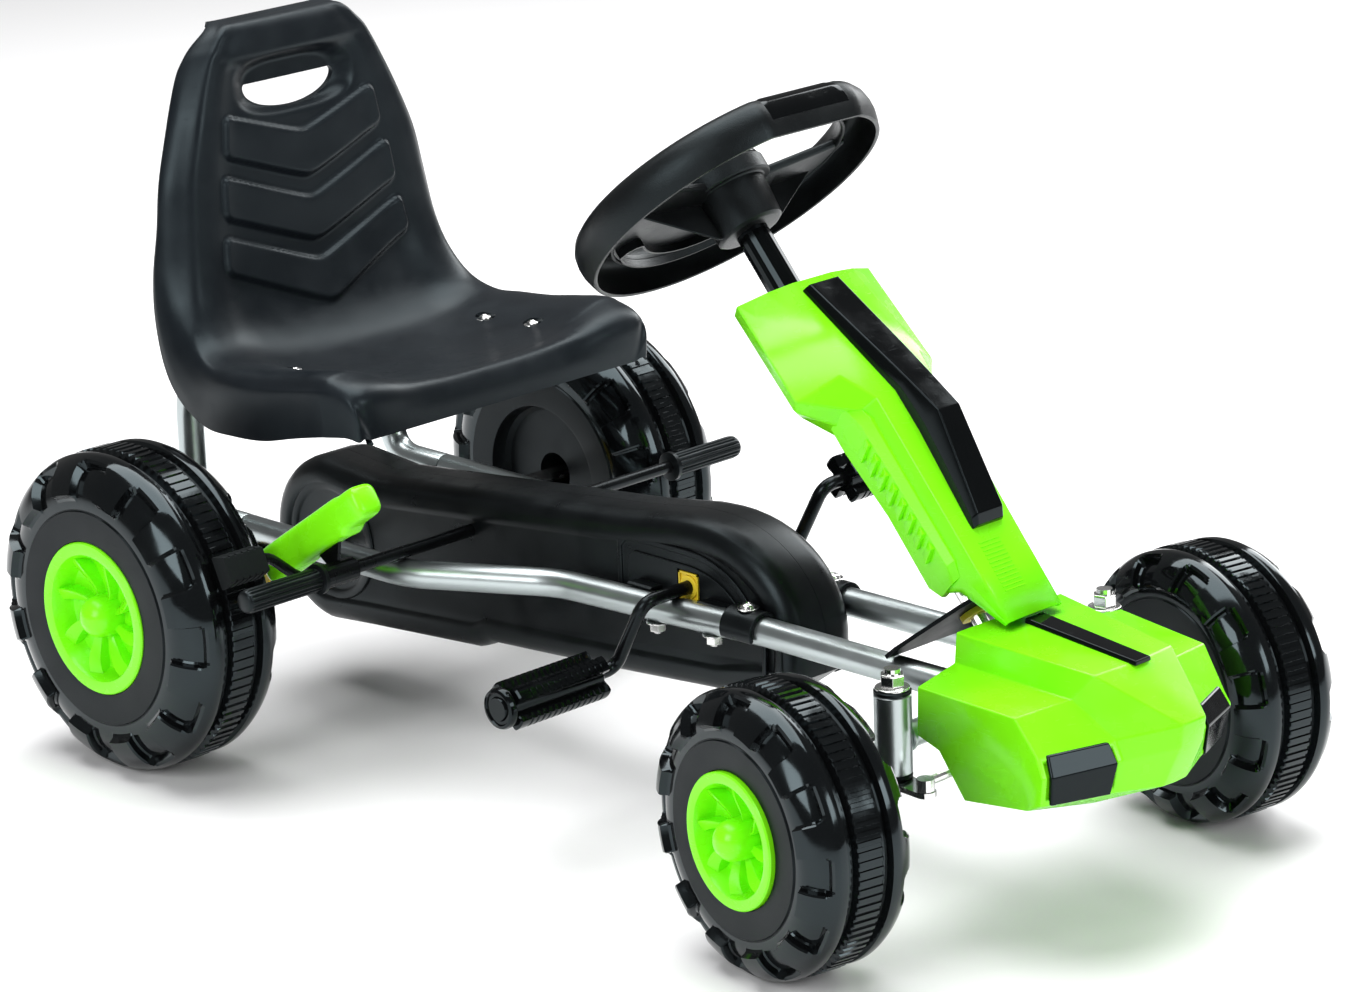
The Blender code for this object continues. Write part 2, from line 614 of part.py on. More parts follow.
def build_brake_grip(base, along, across, green, axis):
    """The flat grip moulded over the lever's bar, wider at its outer end."""
    stations = [(-0.076, 0.0110, 0.0135), (-0.070, 0.0135, 0.0165), (-0.020, 0.0130, 0.0165),
                (0.020, 0.0125, 0.0150), (0.044, 0.0120, 0.0150), (0.050, 0.0095, 0.0120)]
    rings = []
    for reach, half_x, half_n in stations:
        middle = base + along * reach + across * 0.0275 + Vector((BRAKE_X, 0, 0))
        ring = []
        for step in range(16):
            angle = 2.0 * math.pi * step / 16
            a = math.copysign(abs(math.cos(angle)) ** 0.6, math.cos(angle)) * half_x
            b = math.copysign(abs(math.sin(angle)) ** 0.6, math.sin(angle)) * half_n
            ring.append(middle + Vector((a, 0, 0)) + across * b)
        rings.append(ring)
    grip = add_piece("brake_grip", loft(rings), green, axis)
    slot = []
    for a, b in ((-0.0725, 0.0210), (0.0405, 0.0210), (0.0405, 0.0340), (-0.0725, 0.0340)):
        corner = base + along * a + across * b
        slot.append((corner.y, corner.z))
    cut(grip, prism(slot, BRAKE_X - 0.0018, BRAKE_X + 0.0018), "cut_bar_slot")
    mouth = []
    for a, b in ((-0.0130, 0.0), (0.0190, 0.0), (0.0190, 0.0220), (-0.0130, 0.0220)):
        corner = base + along * a + across * b
        mouth.append((corner.y, corner.z))
    cut(grip, prism(mouth, BRAKE_X - 0.0018, BRAKE_X + 0.0018), "cut_bar_mouth")


def build_front_corner(name, side, zinc, black, tyre, green, white):
    """Kingpin, knuckle, wheel and bushes at one front corner."""
    pin = Vector((side * KINGPIN_X, FRONT_AXLE_Y, FRONT_WHEEL_R))
    turn = Matrix.Rotation(WHEEL_REST_STEER, 3, "Z").to_quaternion()
    knuckle_axis = make_axis(f"kingpin_axis_{name}", pin, turn)
    reach = FRONT_WHEEL_OFFSET + 0.0485
    path = round_corners([(pin.x, pin.y, 0.1975), pin, pin + Vector((side * reach, 0, 0))], 0.010, 5)
    knuckle = add_piece(f"knuckle_{name}", sweep(path, AXLE_R, 14), zinc, knuckle_axis)
    outline = arc((pin.x, pin.y), 0.0110, 0.0, 180.0, 8)
    outline += arc((pin.x, pin.y - KNUCKLE_ARM), 0.0075, 180.0, 360.0, 8)
    cut(knuckle, prism(outline, 0.1132, 0.1172, along=2), f"join_arm_{name}", "UNION")
    for place, low, flange_low, flange_high, high in (("upper", 0.160, 0.1793, 0.1823, None),
                                                      ("lower", None, 0.1177, 0.1207, 0.140)):
        bore = AXLE_R + GAP
        if place == "upper":
            bush = [(bore, low), (0.0082, low), (0.0082, flange_low), (0.0135, flange_low),
                    (0.0135, flange_high), (bore, flange_high)]
        else:
            bush = [(bore, flange_low), (0.0135, flange_low), (0.0135, flange_high),
                    (0.0082, flange_high), (0.0082, high), (bore, high)]
        add_piece(f"kingpin_bush_{place}_{name}",
                  turn_profile(bush, (pin.x, pin.y, 0.0), (0, 0, 1), 18), black)
    nut = [(AXLE_R + GAP, 0.1827), (0.0130, 0.1827), (0.0130, 0.1845), (0.0095, 0.1853),
           (0.0095, 0.1925), (0.0080, 0.1945), (AXLE_R + GAP, 0.1945)]
    add_piece(f"kingpin_nut_{name}", turn_profile(nut, (pin.x, pin.y, 0.0), (0, 0, 1), 12), zinc, knuckle_axis)
    place = pin + Vector((side * FRONT_WHEEL_OFFSET, 0, 0))
    hub = knuckle_axis.matrix_basis @ Vector((side * FRONT_WHEEL_OFFSET, 0, 0))
    wheel_axis = make_axis(f"front_wheel_axis_{name}", hub, turn)
    move = Matrix.Translation(-place)
    outlines = ((f"tyre_front_{name}", tyre_outline(FRONT_WHEEL_R, 0.0416, 0.0732, 0.0493), tyre, 28),
                (f"rim_front_{name}", rim_outline(0.0493, 0.0439), green, 20))
    for piece, profile, mat, segments in outlines:
        bm = turn_profile(profile, place, (side, 0, 0), segments)
        bmesh.ops.transform(bm, matrix=move, verts=bm.verts)
        bmesh.ops.translate(bm, vec=wheel_axis.location, verts=bm.verts)
        add_piece(piece, bm, mat, wheel_axis)
    build_tie_rod(name, side, pin, turn, zinc)


def build_tie_rod(name, side, pin, turn, zinc):
    """The rod from the knuckle's arm to the foot of the steering column."""
    tip = pin + turn @ Vector((0.0, -KNUCKLE_ARM, 0.0))
    tip.z = 0.1172
    axis = make_axis(f"tie_rod_axis_{name}", tip)
    foot = COLUMN_TOP - COLUMN_UP * COLUMN_LENGTH + COLUMN_FORE * PITMAN_LENGTH
    swing = Matrix.Rotation(WHEEL_REST_STEER / STEERING_RATIO, 3, COLUMN_UP)
    foot = COLUMN_TOP - COLUMN_UP * COLUMN_LENGTH + swing @ (COLUMN_FORE * PITMAN_LENGTH)
    inner = foot + Vector((side * 0.014, 0.0, 0.0))
    rise = tip + Vector((0.0, 0.0, GAP + 0.0045))
    rod = [rise, rise + Vector((-side * 0.008, 0.0, 0.0012)), inner]
    piece = add_piece(f"tie_rod_{name}", sweep(rod, 0.0035, 10), zinc, axis)
    cut(piece, turn_profile([(0.0, GAP), (0.0065, GAP), (0.0065, 0.009), (0.0, 0.009)], tip, (0, 0, 1), 12),
        f"join_eye_{name}", "UNION")


def build_steering(black, gloss, textured, steel):
    turn = Matrix.Rotation(WHEEL_REST_STEER / STEERING_RATIO, 3, COLUMN_UP).to_quaternion()
    axis = make_axis("steering_axis", COLUMN_TOP, turn)
    foot = COLUMN_TOP - COLUMN_UP * COLUMN_LENGTH
    path = round_corners([COLUMN_TOP + COLUMN_UP * 0.006, foot, foot + COLUMN_FORE * PITMAN_LENGTH], 0.012, 5)
    add_piece("steering_rod", sweep(path, 0.006, 12), steel, axis)
    add_piece("column_sleeve", sleeve(COLUMN_TOP, COLUMN_UP, 0.0125, 0.0063, -0.300, -0.0245, 20), gloss, axis)
    build_steering_wheel(textured, gloss, axis)


def wheel_ring(radius_scale, height):
    """The steering wheel's outline at one height: a circle with a flat across its top."""
    points = []
    for step in range(40):
        angle = 2.0 * math.pi * step / 40
        radius = STEERING_RING_R * radius_scale
        if abs(math.sin(angle)) > 0.0:
            flat = STEERING_RING_FLAT * radius_scale / max(math.sin(angle), 1e-6)
            radius = min(radius, flat) if math.sin(angle) > 0.0 else radius
        points.append(COLUMN_TOP + Vector((1, 0, 0)) * radius * math.cos(angle)
                      + COLUMN_FORE * radius * math.sin(angle) + COLUMN_UP * height)
    return points


def lower_web():
    """The plate that fills the wheel below its side spokes, with a long curved slot beside the rim."""
    rings = []
    outline = arc((0.0, 0.0), 0.0250, 205.0, 335.0, 10) + arc((0.0, 0.0), 0.0970, 335.0, 322.0, 2)
    outline += arc((0.0, 0.0), 0.0745, 322.0, 218.0, 12) + arc((0.0, 0.0), 0.0970, 218.0, 205.0, 2)
    for height in (0.012, 0.017):
        rings.append([COLUMN_TOP + Vector((x, 0, 0)) + COLUMN_FORE * fore + COLUMN_UP * height
                      for x, fore in outline])
    return loft(rings)


def build_steering_wheel(textured, gloss, axis):
    sections = [(1.00, -0.003), (1.03, 0.010), (0.98, 0.028), (0.90, 0.031), (0.80, 0.024), (0.79, 0.002)]
    rings = [wheel_ring(scale, height) for scale, height in sections]
    columns = [[ring[i] for ring in rings] for i in range(40)]
    wheel = add_piece("steering_wheel", loft(columns, closed=True), textured, axis)
    for name, x_end, f_end in (("right", -0.100, 0.010), ("left", 0.100, 0.010)):
        rings = []
        for share in (0.0, 1.0):
            x = math.copysign(0.018, x_end) + (x_end - math.copysign(0.018, x_end)) * share
            middle = COLUMN_TOP + Vector((x, 0, 0)) + COLUMN_FORE * f_end * share + COLUMN_UP * 0.014
            half = 0.022 - 0.004 * share
            ring = []
            for a, b in ((-half, -0.005), (half, -0.005), (half, 0.008), (-half, 0.008)):
                ring.append(middle + COLUMN_FORE * a + COLUMN_UP * b)
            rings.append(ring)
        cut(wheel, loft(rings), f"join_spoke_{name}", "UNION")
    cut(wheel, lower_web(), "join_lower_web", "UNION")
    hub = [(0.0065, -0.024), (0.0260, -0.024), (0.0300, 0.000), (0.0350, 0.006), (0.0350, 0.024), (0.0065, 0.024)]
    cut(wheel, turn_profile(hub, COLUMN_TOP, COLUMN_UP, 28), "join_hub", "UNION")
    cap = [(0.0, 0.0245), (0.0340, 0.0245), (0.0320, 0.0285), (0.0200, 0.0320), (0.0, 0.0330)]
    add_piece("steering_cap", turn_profile(cap, COLUMN_TOP, COLUMN_UP, 28), gloss, axis)


# The column cover's own plane: down the front face, and out of it
COVER_TOP = Vector((0.0, -0.1359, 0.4218))
COVER_DOWN = Vector((0.0, -0.721, -0.693))
COVER_OUT = Vector((0.0, -0.693, 0.721))


def cover_point(x, down, out):
    return COVER_TOP + Vector((x, 0, 0)) + COVER_DOWN * down + COVER_OUT * out


def cover_sections():
    """Half outlines of the column cover, from the middle of its face round to its rear edge."""
    return [
        (0.000, [(0.0, 0.004), (0.020, 0.004), (0.045, 0.000), (0.0690, -0.008), (0.062, -0.022), (0.048, -0.034)]),
        (0.084, [(0.0, 0.018), (0.020, 0.018), (0.042, 0.012), (0.0720, -0.010), (0.064, -0.024), (0.050, -0.036)]),
        (0.112, [(0.0, 0.0225), (0.018, 0.0225), (0.031, 0.020), (0.040, 0.002), (0.043, -0.016), (0.040, -0.031)]),
        (0.250, [(0.0, 0.007), (0.018, 0.007), (0.029, 0.005), (0.034, -0.012), (0.036, -0.034), (0.033, -0.044)]),
        (0.256, [(0.0, 0.006), (0.018, 0.006), (0.029, 0.004), (0.031, -0.008), (0.031, -0.016), (0.029, -0.022)]),
        (0.297, [(0.0, 0.001), (0.018, 0.001), (0.028, 0.000), (0.0290, -0.002), (0.0293, -0.0035), (0.0285, -0.005)]),
    ]


def build_column_cover(green, gloss):
    bm = bmesh.new()
    rows = []
    for down, half in cover_sections():
        outline = [(-x, out) for x, out in reversed(half[1:])] + half
        rows.append([bm.verts.new(cover_point(x, down, out)) for x, out in outline])
    for low, high in zip(rows, rows[1:]):
        for i in range(len(low) - 1):
            bm.faces.new((low[i], low[i + 1], high[i + 1], high[i]))
    cover = add_piece("column_cover", bm, green, smooth=False)
    wall = cover.modifiers.new("wall", "SOLIDIFY")
    wall.thickness = 0.003
    wall.offset = -1.0
    wall.use_even_offset = True
    stations = [(0.0086, 0.0181, 0.0060, 0.0125), (0.087, 0.0155, 0.0190, 0.0310), (0.112, 0.0145, 0.0231, 0.0365),
                (0.1454, 0.0134, 0.0193, 0.0432), (0.2200, 0.0163, 0.0110, 0.0200), (0.2260, 0.0160, 0.0104, 0.0140)]
    rings = []
    for down, half, base, top in stations:
        rings.append([cover_point(-half, down, base), cover_point(half, down, base),
                      cover_point(half * 0.86, down, top), cover_point(-half * 0.86, down, top)])
    add_piece("cover_panel", loft(rings), gloss, smooth=False)


def nose_strips():
    """Lines over one half of the nose, from its rear edge forward and down, from the middle outward."""
    return [
        [(0.0000, -0.3300, 0.2125), (0.0000, -0.4440, 0.2012), (0.0000, -0.4960, 0.1700),
         (0.0000, -0.4930, 0.1520), (0.0000, -0.4775, 0.1200), (0.0000, -0.4400, 0.1075)],
        [(0.0558, -0.3252, 0.2102), (0.0414, -0.4395, 0.2004), (0.0120, -0.4945, 0.1690),
         (0.0120, -0.4915, 0.1515), (0.0120, -0.4765, 0.1200), (0.0120, -0.4400, 0.1075)],
        [(0.0600, -0.3270, 0.1890), (0.0500, -0.4250, 0.1820), (0.0440, -0.4600, 0.1590),
         (0.0440, -0.4668, 0.1450), (0.0440, -0.4625, 0.1215), (0.0440, -0.4400, 0.1080)],
        [(0.1087, -0.3367, 0.1869), (0.1017, -0.4194, 0.1813), (0.0985, -0.4362, 0.1560),
         (0.1015, -0.4440, 0.1420), (0.0990, -0.4395, 0.1205), (0.0950, -0.4250, 0.1130)],
    ]


def build_nose(green, gloss):
    """The front bumper: a low spine between two lamp pods, as one shell open behind and below."""
    bm = bmesh.new()
    for side in (1.0, -1.0):
        rows = [[bm.verts.new((side * x, y, z)) for x, y, z in strip] for strip in nose_strips()]
        for low, high in zip(rows, rows[1:]):
            for i in range(len(low) - 1):
                bm.faces.new((low[i], low[i + 1], high[i + 1], high[i]))
        edge = [bm.verts.new((side * x, y, z)) for x, y, z in
                ((0.1060, -0.3765, 0.1120), (0.1075, -0.3545, 0.1440), (0.1080, -0.3350, 0.1510))]
        bm.faces.new(rows[3] + edge)
    bmesh.ops.remove_doubles(bm, verts=bm.verts, dist=1e-5)
    bmesh.ops.recalc_face_normals(bm, faces=bm.faces)
    nose = add_piece("nose_bumper", bm, green, smooth=False)
    wall = nose.modifiers.new("wall", "SOLIDIFY")
    wall.thickness = 0.003
    wall.offset = -1.0
    build_lamps(gloss)
    build_nose_strip(gloss)


def build_lamps(gloss):
    """A bent glossy plate on the front of each lamp pod."""
    inner, outer = nose_strips()[2:4]
    for name, side in SIDES:
        rings = []
        for station, near, far in ((2, 0.10, 0.88), (3, 0.08, 0.90), (4, 0.12, 0.88)):
            ring = []
            for share, proud in ((near, 0.0010), (far, 0.0010), (far, 0.0036), (near, 0.0036)):
                place = Vector(inner[station]).lerp(Vector(outer[station]), share)
                ring.append(Vector((side * place.x, place.y - proud, place.z)))
            rings.append(ring)
        add_piece(f"lamp_{name}", loft(rings), gloss, smooth=False)


def build_nose_strip(gloss):
    outline = [(-0.3480, 0.2112), (-0.4485, 0.2012)]
    rings = []
    for y, z in outline:
        rings.append([Vector((-0.0100, y, z + GAP)), Vector((0.0100, y, z + GAP)),
                      Vector((0.0085, y, z + 0.0026)), Vector((-0.0085, y, z + 0.0026))])
    add_piece("nose_strip", loft(rings), gloss, smooth=False)


def main():
    clear_scene()
    steel = make_material("satin_tube", (0.62, 0.63, 0.65), 0.32, 1.0)
    zinc = make_material("zinc", (0.70, 0.70, 0.70), 0.25, 1.0)
    black_steel = make_material("black_steel", (0.02, 0.02, 0.022), 0.30, 0.0)
    seat = make_material("seat_plastic", (0.045, 0.05, 0.055), 0.50)
    cover = make_material("cover_plastic", (0.03, 0.033, 0.036), 0.48)
    tyre = make_material("tyre_plastic", (0.012, 0.012, 0.013), 0.22)
    green = make_material("green_plastic", (0.30, 0.85, 0.03), 0.30)
    gloss = make_material("gloss_black", (0.01, 0.01, 0.012), 0.12)
    textured = make_material("wheel_grip", (0.02, 0.02, 0.022), 0.55)
    yellow = make_material("bush_yellow", (0.85, 0.68, 0.05), 0.45)
    rubber = make_material("pad_rubber", (0.02, 0.02, 0.02), 0.80)
    build_frame(steel, black_steel)
    build_seat(seat)
    build_rear_axle(zinc, zinc, yellow, tyre, green)
    build_chain(zinc)
    build_chain_cover(cover, yellow)
    build_crank(black_steel, zinc)
    build_pedals(gloss)
    build_foot_bar(black_steel, cover)
    build_brake(black_steel, green, rubber)
    for name, side in SIDES:
        build_front_corner(name, side, zinc, black_steel, tyre, green, seat)
    build_steering(black_steel, gloss, textured, zinc)
    build_column_bush(yellow)
    build_column_cover(green, gloss)
    build_nose(green, gloss)


main()
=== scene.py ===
import json
import math

import bmesh
import bpy
from mathutils import Matrix, Vector


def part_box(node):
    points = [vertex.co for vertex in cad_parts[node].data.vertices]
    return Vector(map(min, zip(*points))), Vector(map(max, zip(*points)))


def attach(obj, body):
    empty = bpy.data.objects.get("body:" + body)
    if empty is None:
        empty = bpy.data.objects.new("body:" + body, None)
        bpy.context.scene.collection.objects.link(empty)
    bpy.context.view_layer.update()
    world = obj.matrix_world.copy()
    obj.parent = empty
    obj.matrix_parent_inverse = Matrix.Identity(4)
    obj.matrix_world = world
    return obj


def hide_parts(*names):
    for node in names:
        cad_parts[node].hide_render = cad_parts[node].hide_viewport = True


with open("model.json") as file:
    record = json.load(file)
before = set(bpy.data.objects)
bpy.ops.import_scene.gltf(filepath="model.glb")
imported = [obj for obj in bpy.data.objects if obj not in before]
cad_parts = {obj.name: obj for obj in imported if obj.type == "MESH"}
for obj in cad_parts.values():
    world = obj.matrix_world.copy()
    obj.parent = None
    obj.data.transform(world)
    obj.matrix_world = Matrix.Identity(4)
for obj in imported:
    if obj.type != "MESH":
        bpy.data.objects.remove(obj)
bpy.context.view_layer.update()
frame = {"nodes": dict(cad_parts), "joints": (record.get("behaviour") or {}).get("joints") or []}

NODES = frame["nodes"]
SIDES = (("right", -1.0), ("left", 1.0))

# ---------------- camera, floor and light
CAMERA_AZIMUTH = math.radians(-44.099)
CAMERA_ELEVATION = math.radians(17.385)
CAMERA_ROLL = math.radians(-1.958)
CAMERA_DISTANCE = 3.695
CAMERA_LENS = 126.41
LOOK_RIGHT, LOOK_UP, LOOK_AHEAD = 0.009, 0.216, 0.0265


def build_camera():
    sin_a, cos_a = math.sin(CAMERA_AZIMUTH), math.cos(CAMERA_AZIMUTH)
    sin_e, cos_e = math.sin(CAMERA_ELEVATION), math.cos(CAMERA_ELEVATION)
    back = Vector((sin_a * cos_e, -cos_a * cos_e, sin_e))
    level = Vector((cos_a, sin_a, 0.0))
    upright = back.cross(level)
    right = level * math.cos(CAMERA_ROLL) + upright * math.sin(CAMERA_ROLL)
    up = -level * math.sin(CAMERA_ROLL) + upright * math.cos(CAMERA_ROLL)
    target = right * LOOK_RIGHT + up * LOOK_UP + Vector((0.0, LOOK_AHEAD, 0.0))
    place = target + back * CAMERA_DISTANCE
    data = bpy.data.cameras.new("camera")
    data.lens = CAMERA_LENS
    data.sensor_width = 36.0
    data.clip_end = 100.0
    camera = bpy.data.objects.new("camera", data)
    turn = Matrix((right, up, back)).transposed().to_4x4()
    camera.matrix_world = Matrix.Translation(place) @ turn
    bpy.context.scene.collection.objects.link(camera)
    bpy.context.scene.camera = camera


# each area light: name, place, width and height, power; all face the middle of the kart
LIGHT_TARGET = Vector((0.0, 0.0, 0.2))
LIGHTS = [("top", (0.3, 0.6, 3.4), 3.4, 3.4, 200.0), ("near_side", (-3.2, -0.6, 1.9), 1.6, 1.8, 60.0),
          ("front", (0.4, -3.6, 1.8), 2.0, 1.2, 50.0), ("far_side", (2.6, 0.4, 1.6), 1.2, 2.0, 50.0)]


def build_studio():
    world = bpy.data.worlds.new("studio")
    bpy.context.scene.world = world
    world.use_nodes = True
    sky = world.node_tree.nodes["Background"]
    sky.inputs["Color"].default_value = (1.0, 1.0, 1.0, 1.0)
    sky.inputs["Strength"].default_value = 0.17
    bpy.context.scene.view_settings.view_transform = "Standard"
    for name, place, width, height, power in LIGHTS:
        data = bpy.data.lights.new(name, "AREA")
        data.shape = "RECTANGLE"
        data.size, data.size_y, data.energy = width, height, power
        light = bpy.data.objects.new(name, data)
        turn = (LIGHT_TARGET - Vector(place)).to_track_quat("-Z", "Y").to_matrix().to_4x4()
        light.matrix_world = Matrix.Translation(place) @ turn
        bpy.context.scene.collection.objects.link(light)
    bm = bmesh.new()
    bmesh.ops.create_grid(bm, x_segments=8, y_segments=8, size=30.0)
    floor = new_object("floor", bm)
    floor.location.z = -0.0005
    mat = bpy.data.materials.new("floor")
    mat.use_nodes = True
    nodes, links = mat.node_tree.nodes, mat.node_tree.links
    shader = nodes["Principled BSDF"]
    shader.inputs["Base Color"].default_value = (0.93, 0.93, 0.935, 1.0)
    shader.inputs["Roughness"].default_value = 0.65
    coords = nodes.new("ShaderNodeTexCoord")
    noise = nodes.new("ShaderNodeTexNoise")
    noise.inputs["Scale"].default_value = 40.0
    bump = nodes.new("ShaderNodeBump")
    bump.inputs["Strength"].default_value = 0.02
    bump.inputs["Distance"].default_value = 0.001
    links.new(coords.outputs["Object"], noise.inputs["Vector"])
    links.new(noise.outputs["Fac"], bump.inputs["Height"])
    links.new(bump.outputs["Normal"], shader.inputs["Normal"])
    floor.data.materials.append(mat)


# ---------------- materials
def surface(name, colour, rough, metal=0.0, grain=900.0, grain_depth=0.00004, soft=9.0, soft_depth=0.0003,
            vary=0.04, rough_vary=0.06, stretch=(1.0, 1.0, 1.0), scuffs=0.0, specular=0.5):
    """A finish with fine grain, slow waviness, and small changes of shade and gloss."""
    mat = bpy.data.materials.new(name)
    mat.use_nodes = True
    mat.diffuse_color = (*colour, 1.0)
    nodes, links = mat.node_tree.nodes, mat.node_tree.links
    shader = nodes["Principled BSDF"]
    shader.inputs["Metallic"].default_value = metal
    shader.inputs["Specular IOR Level"].default_value = specular
    # painted reflection tint: dark finishes get a cool cast on their reflections, standing in for the cool
    # colour of the studio lights
    if max(colour) < 0.05:
        shader.inputs["Specular Tint"].default_value = (0.74, 0.93, 1.0, 1.0)
    place = nodes.new("ShaderNodeTexCoord").outputs["Object"]

    def scaled(scale, rotation=(0.0, 0.0, 0.0)):
        node = nodes.new("ShaderNodeMapping")
        node.inputs["Scale"].default_value = scale
        node.inputs["Rotation"].default_value = rotation
        links.new(place, node.inputs["Vector"])
        return node.outputs["Vector"]

    def noise(scale, detail, vector):
        node = nodes.new("ShaderNodeTexNoise")
        node.inputs["Scale"].default_value = scale
        node.inputs["Detail"].default_value = detail
        links.new(vector, node.inputs["Vector"])
        return node.outputs["Fac"]

    def spread(source, low, high, start=0.3, end=0.7):
        node = nodes.new("ShaderNodeMapRange")
        for socket, value in (("From Min", start), ("From Max", end), ("To Min", low), ("To Max", high)):
            node.inputs[socket].default_value = value
        links.new(source, node.inputs["Value"])
        return node.outputs["Result"]

    def bumped(source, depth, under=None):
        node = nodes.new("ShaderNodeBump")
        node.inputs["Distance"].default_value = depth
        links.new(source, node.inputs["Height"])
        if under:
            links.new(under, node.inputs["Normal"])
        return node.outputs["Normal"]

    patch = noise(38.0, 5.0, place)
    mix = nodes.new("ShaderNodeMix")
    mix.data_type = "RGBA"
    darker = [c * (1.0 - vary) for c in colour]
    lighter = [min(1.0, c * (1.0 + vary) + vary * 0.01) for c in colour]
    mix.inputs[6].default_value = (*darker, 1.0)
    mix.inputs[7].default_value = (*lighter, 1.0)
    links.new(spread(patch, 0.0, 1.0), mix.inputs[0])
    links.new(mix.outputs[2], shader.inputs["Base Color"])
    gloss = spread(patch, max(0.02, rough - rough_vary), rough + rough_vary)
    if scuffs > 0.0:
        streak = noise(7.0, 4.0, scaled((14.0, 14.0, 130.0), (0.5, 0.9, 0.3)))
        add = nodes.new("ShaderNodeMath")
        links.new(gloss, add.inputs[0])
        links.new(spread(streak, 0.0, scuffs, 0.62, 0.74), add.inputs[1])
        gloss = add.outputs[0]
    links.new(gloss, shader.inputs["Roughness"])
    wavy = bumped(noise(soft, 2.0, place), soft_depth)
    links.new(bumped(noise(grain, 3.0, scaled(stretch)), grain_depth, wavy), shader.inputs["Normal"])
    return mat


# each finish: its material's name, colour, roughness, and what else differs
FINISHES = {
    "tube": ("satin_tube", (0.46, 0.51, 0.515), 0.31, dict(
        metal=1.0, grain=500.0, grain_depth=0.00002, stretch=(1.0, 0.06, 1.0), scuffs=0.04, rough_vary=0.03,
        vary=0.02, soft_depth=0.0001)),
    "zinc": ("zinc", (0.72, 0.72, 0.71), 0.22, dict(metal=1.0, grain=700.0, vary=0.08, rough_vary=0.09)),
    "black_steel": ("black_steel", (0.003, 0.003, 0.0034), 0.26, dict(
        specular=0.22, grain=350.0, grain_depth=0.00002)),
    "seat": ("seat_plastic", (0.0062, 0.008, 0.0105), 0.36, dict(
        grain=1500.0, grain_depth=0.00006, specular=0.24, scuffs=0.14, rough_vary=0.07)),
    "cover": ("cover_plastic", (0.003, 0.0034, 0.0038), 0.33, dict(
        specular=0.24, grain=1300.0, grain_depth=0.00005, scuffs=0.12, soft=6.0, soft_depth=0.0006)),
    "tyre": ("tyre_plastic", (0.0025, 0.0027, 0.003), 0.11, dict(
        specular=0.42, grain=420.0, grain_depth=0.00001, scuffs=0.1, soft=24.0, soft_depth=0.0005)),
    "disc": ("tyre_disc", (0.0045, 0.0052, 0.006), 0.36, dict(
        specular=0.16, grain=1600.0, grain_depth=0.00005, scuffs=0.1)),
    "green": ("green_plastic", (0.215, 0.9, 0.006), 0.25, dict(
        specular=0.32, grain=600.0, grain_depth=0.00001, soft=10.0, soft_depth=0.0006, scuffs=0.08,
        vary=0.025)),
    "gloss": ("gloss_black", (0.002, 0.0022, 0.0025), 0.08, dict(
        specular=0.22, grain=300.0, grain_depth=0.000006, soft=14.0, scuffs=0.1)),
    "grip": ("wheel_grip", (0.0035, 0.0037, 0.004), 0.36, dict(
        specular=0.24, grain=1100.0, grain_depth=0.00022, vary=0.12)),
    "yellow": ("bush_yellow", (0.8, 0.6, 0.03), 0.42, dict(grain=500.0, scuffs=0.1)),
    "bracket": ("bracket_steel", (0.0028, 0.0028, 0.0031), 0.42, dict(
        specular=0.05, grain=350.0, grain_depth=0.00002)),
    "rubber": ("pad_rubber", (0.004, 0.004, 0.004), 0.7, dict(
        specular=0.2, grain=600.0, grain_depth=0.00008, vary=0.15)),
}
M = {key: surface(name, colour, rough, **rest) for key, (name, colour, rough, rest) in FINISHES.items()}


# ---------------- mesh helpers
def new_object(name, bm):
    """Links a bmesh to the scene as a mesh object."""
    mesh = bpy.data.meshes.new(name)
    bm.to_mesh(mesh)
    bm.free()
    obj = bpy.data.objects.new(name, mesh)
    bpy.context.scene.collection.objects.link(obj)
    return obj


def add_wall(obj, thickness):
    wall = obj.modifiers.new("wall", "SOLIDIFY")
    wall.thickness = thickness
    wall.offset = -1.0


def soften(obj, width, segments=2, limit=30.0):
    """Rounds the edges and evens the shading over them."""
    edge = obj.modifiers.new("edges", "BEVEL")
    edge.width = width
    edge.segments = segments
    edge.limit_method = "ANGLE"
    edge.angle_limit = math.radians(limit)
    obj.data.shade_smooth()
    return obj.modifiers.new("normals", "WEIGHTED_NORMAL")


def add_piece(name, bm, mat, body, replaces=(), angle=35.0, bevel=0.0, segments=2):
    """Turns a bmesh in world coordinates into a finished piece that rides on a body."""
    bmesh.ops.recalc_face_normals(bm, faces=bm.faces)
    obj = new_object(name, bm)
    obj.data.materials.append(M[mat])
    obj.data.shade_smooth()
    if bevel:
        soften(obj, bevel, segments, 18.0).keep_sharp = False
    else:
        obj.data.set_sharp_from_angle(angle=math.radians(angle))
    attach(obj, body)
    if replaces:
        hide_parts(*replaces)
    return obj


def cut(obj, bm, name):
    """Cuts a closed shape out of a piece, with the piece's modifiers applied first."""
    bmesh.ops.recalc_face_normals(bm, faces=bm.faces)
    tool = new_object(name, bm)
    modifier = obj.modifiers.new(name, "BOOLEAN")
    modifier.operation = "DIFFERENCE"
    modifier.object = tool
    modifier.solver = "EXACT"
    graph = bpy.context.evaluated_depsgraph_get()
    mesh = bpy.data.meshes.new_from_object(obj.evaluated_get(graph))
    obj.modifiers.clear()
    obj.data = mesh
    bpy.data.objects.remove(tool)


def turns(count):
    """The angles of evenly spaced points round a circle."""
    return [2.0 * math.pi * k / count for k in range(count)]


def both_ways(axis):
    """Two directions square to an axis and to each other."""
    side = axis.orthogonal().normalized()
    return side, axis.cross(side)


def skin(bm, low, high):
    """Faces between two closed rows of points."""
    return [bm.faces.new((low[i - 1], low[i], high[i], high[i - 1])) for i in [*range(1, len(low)), 0]]


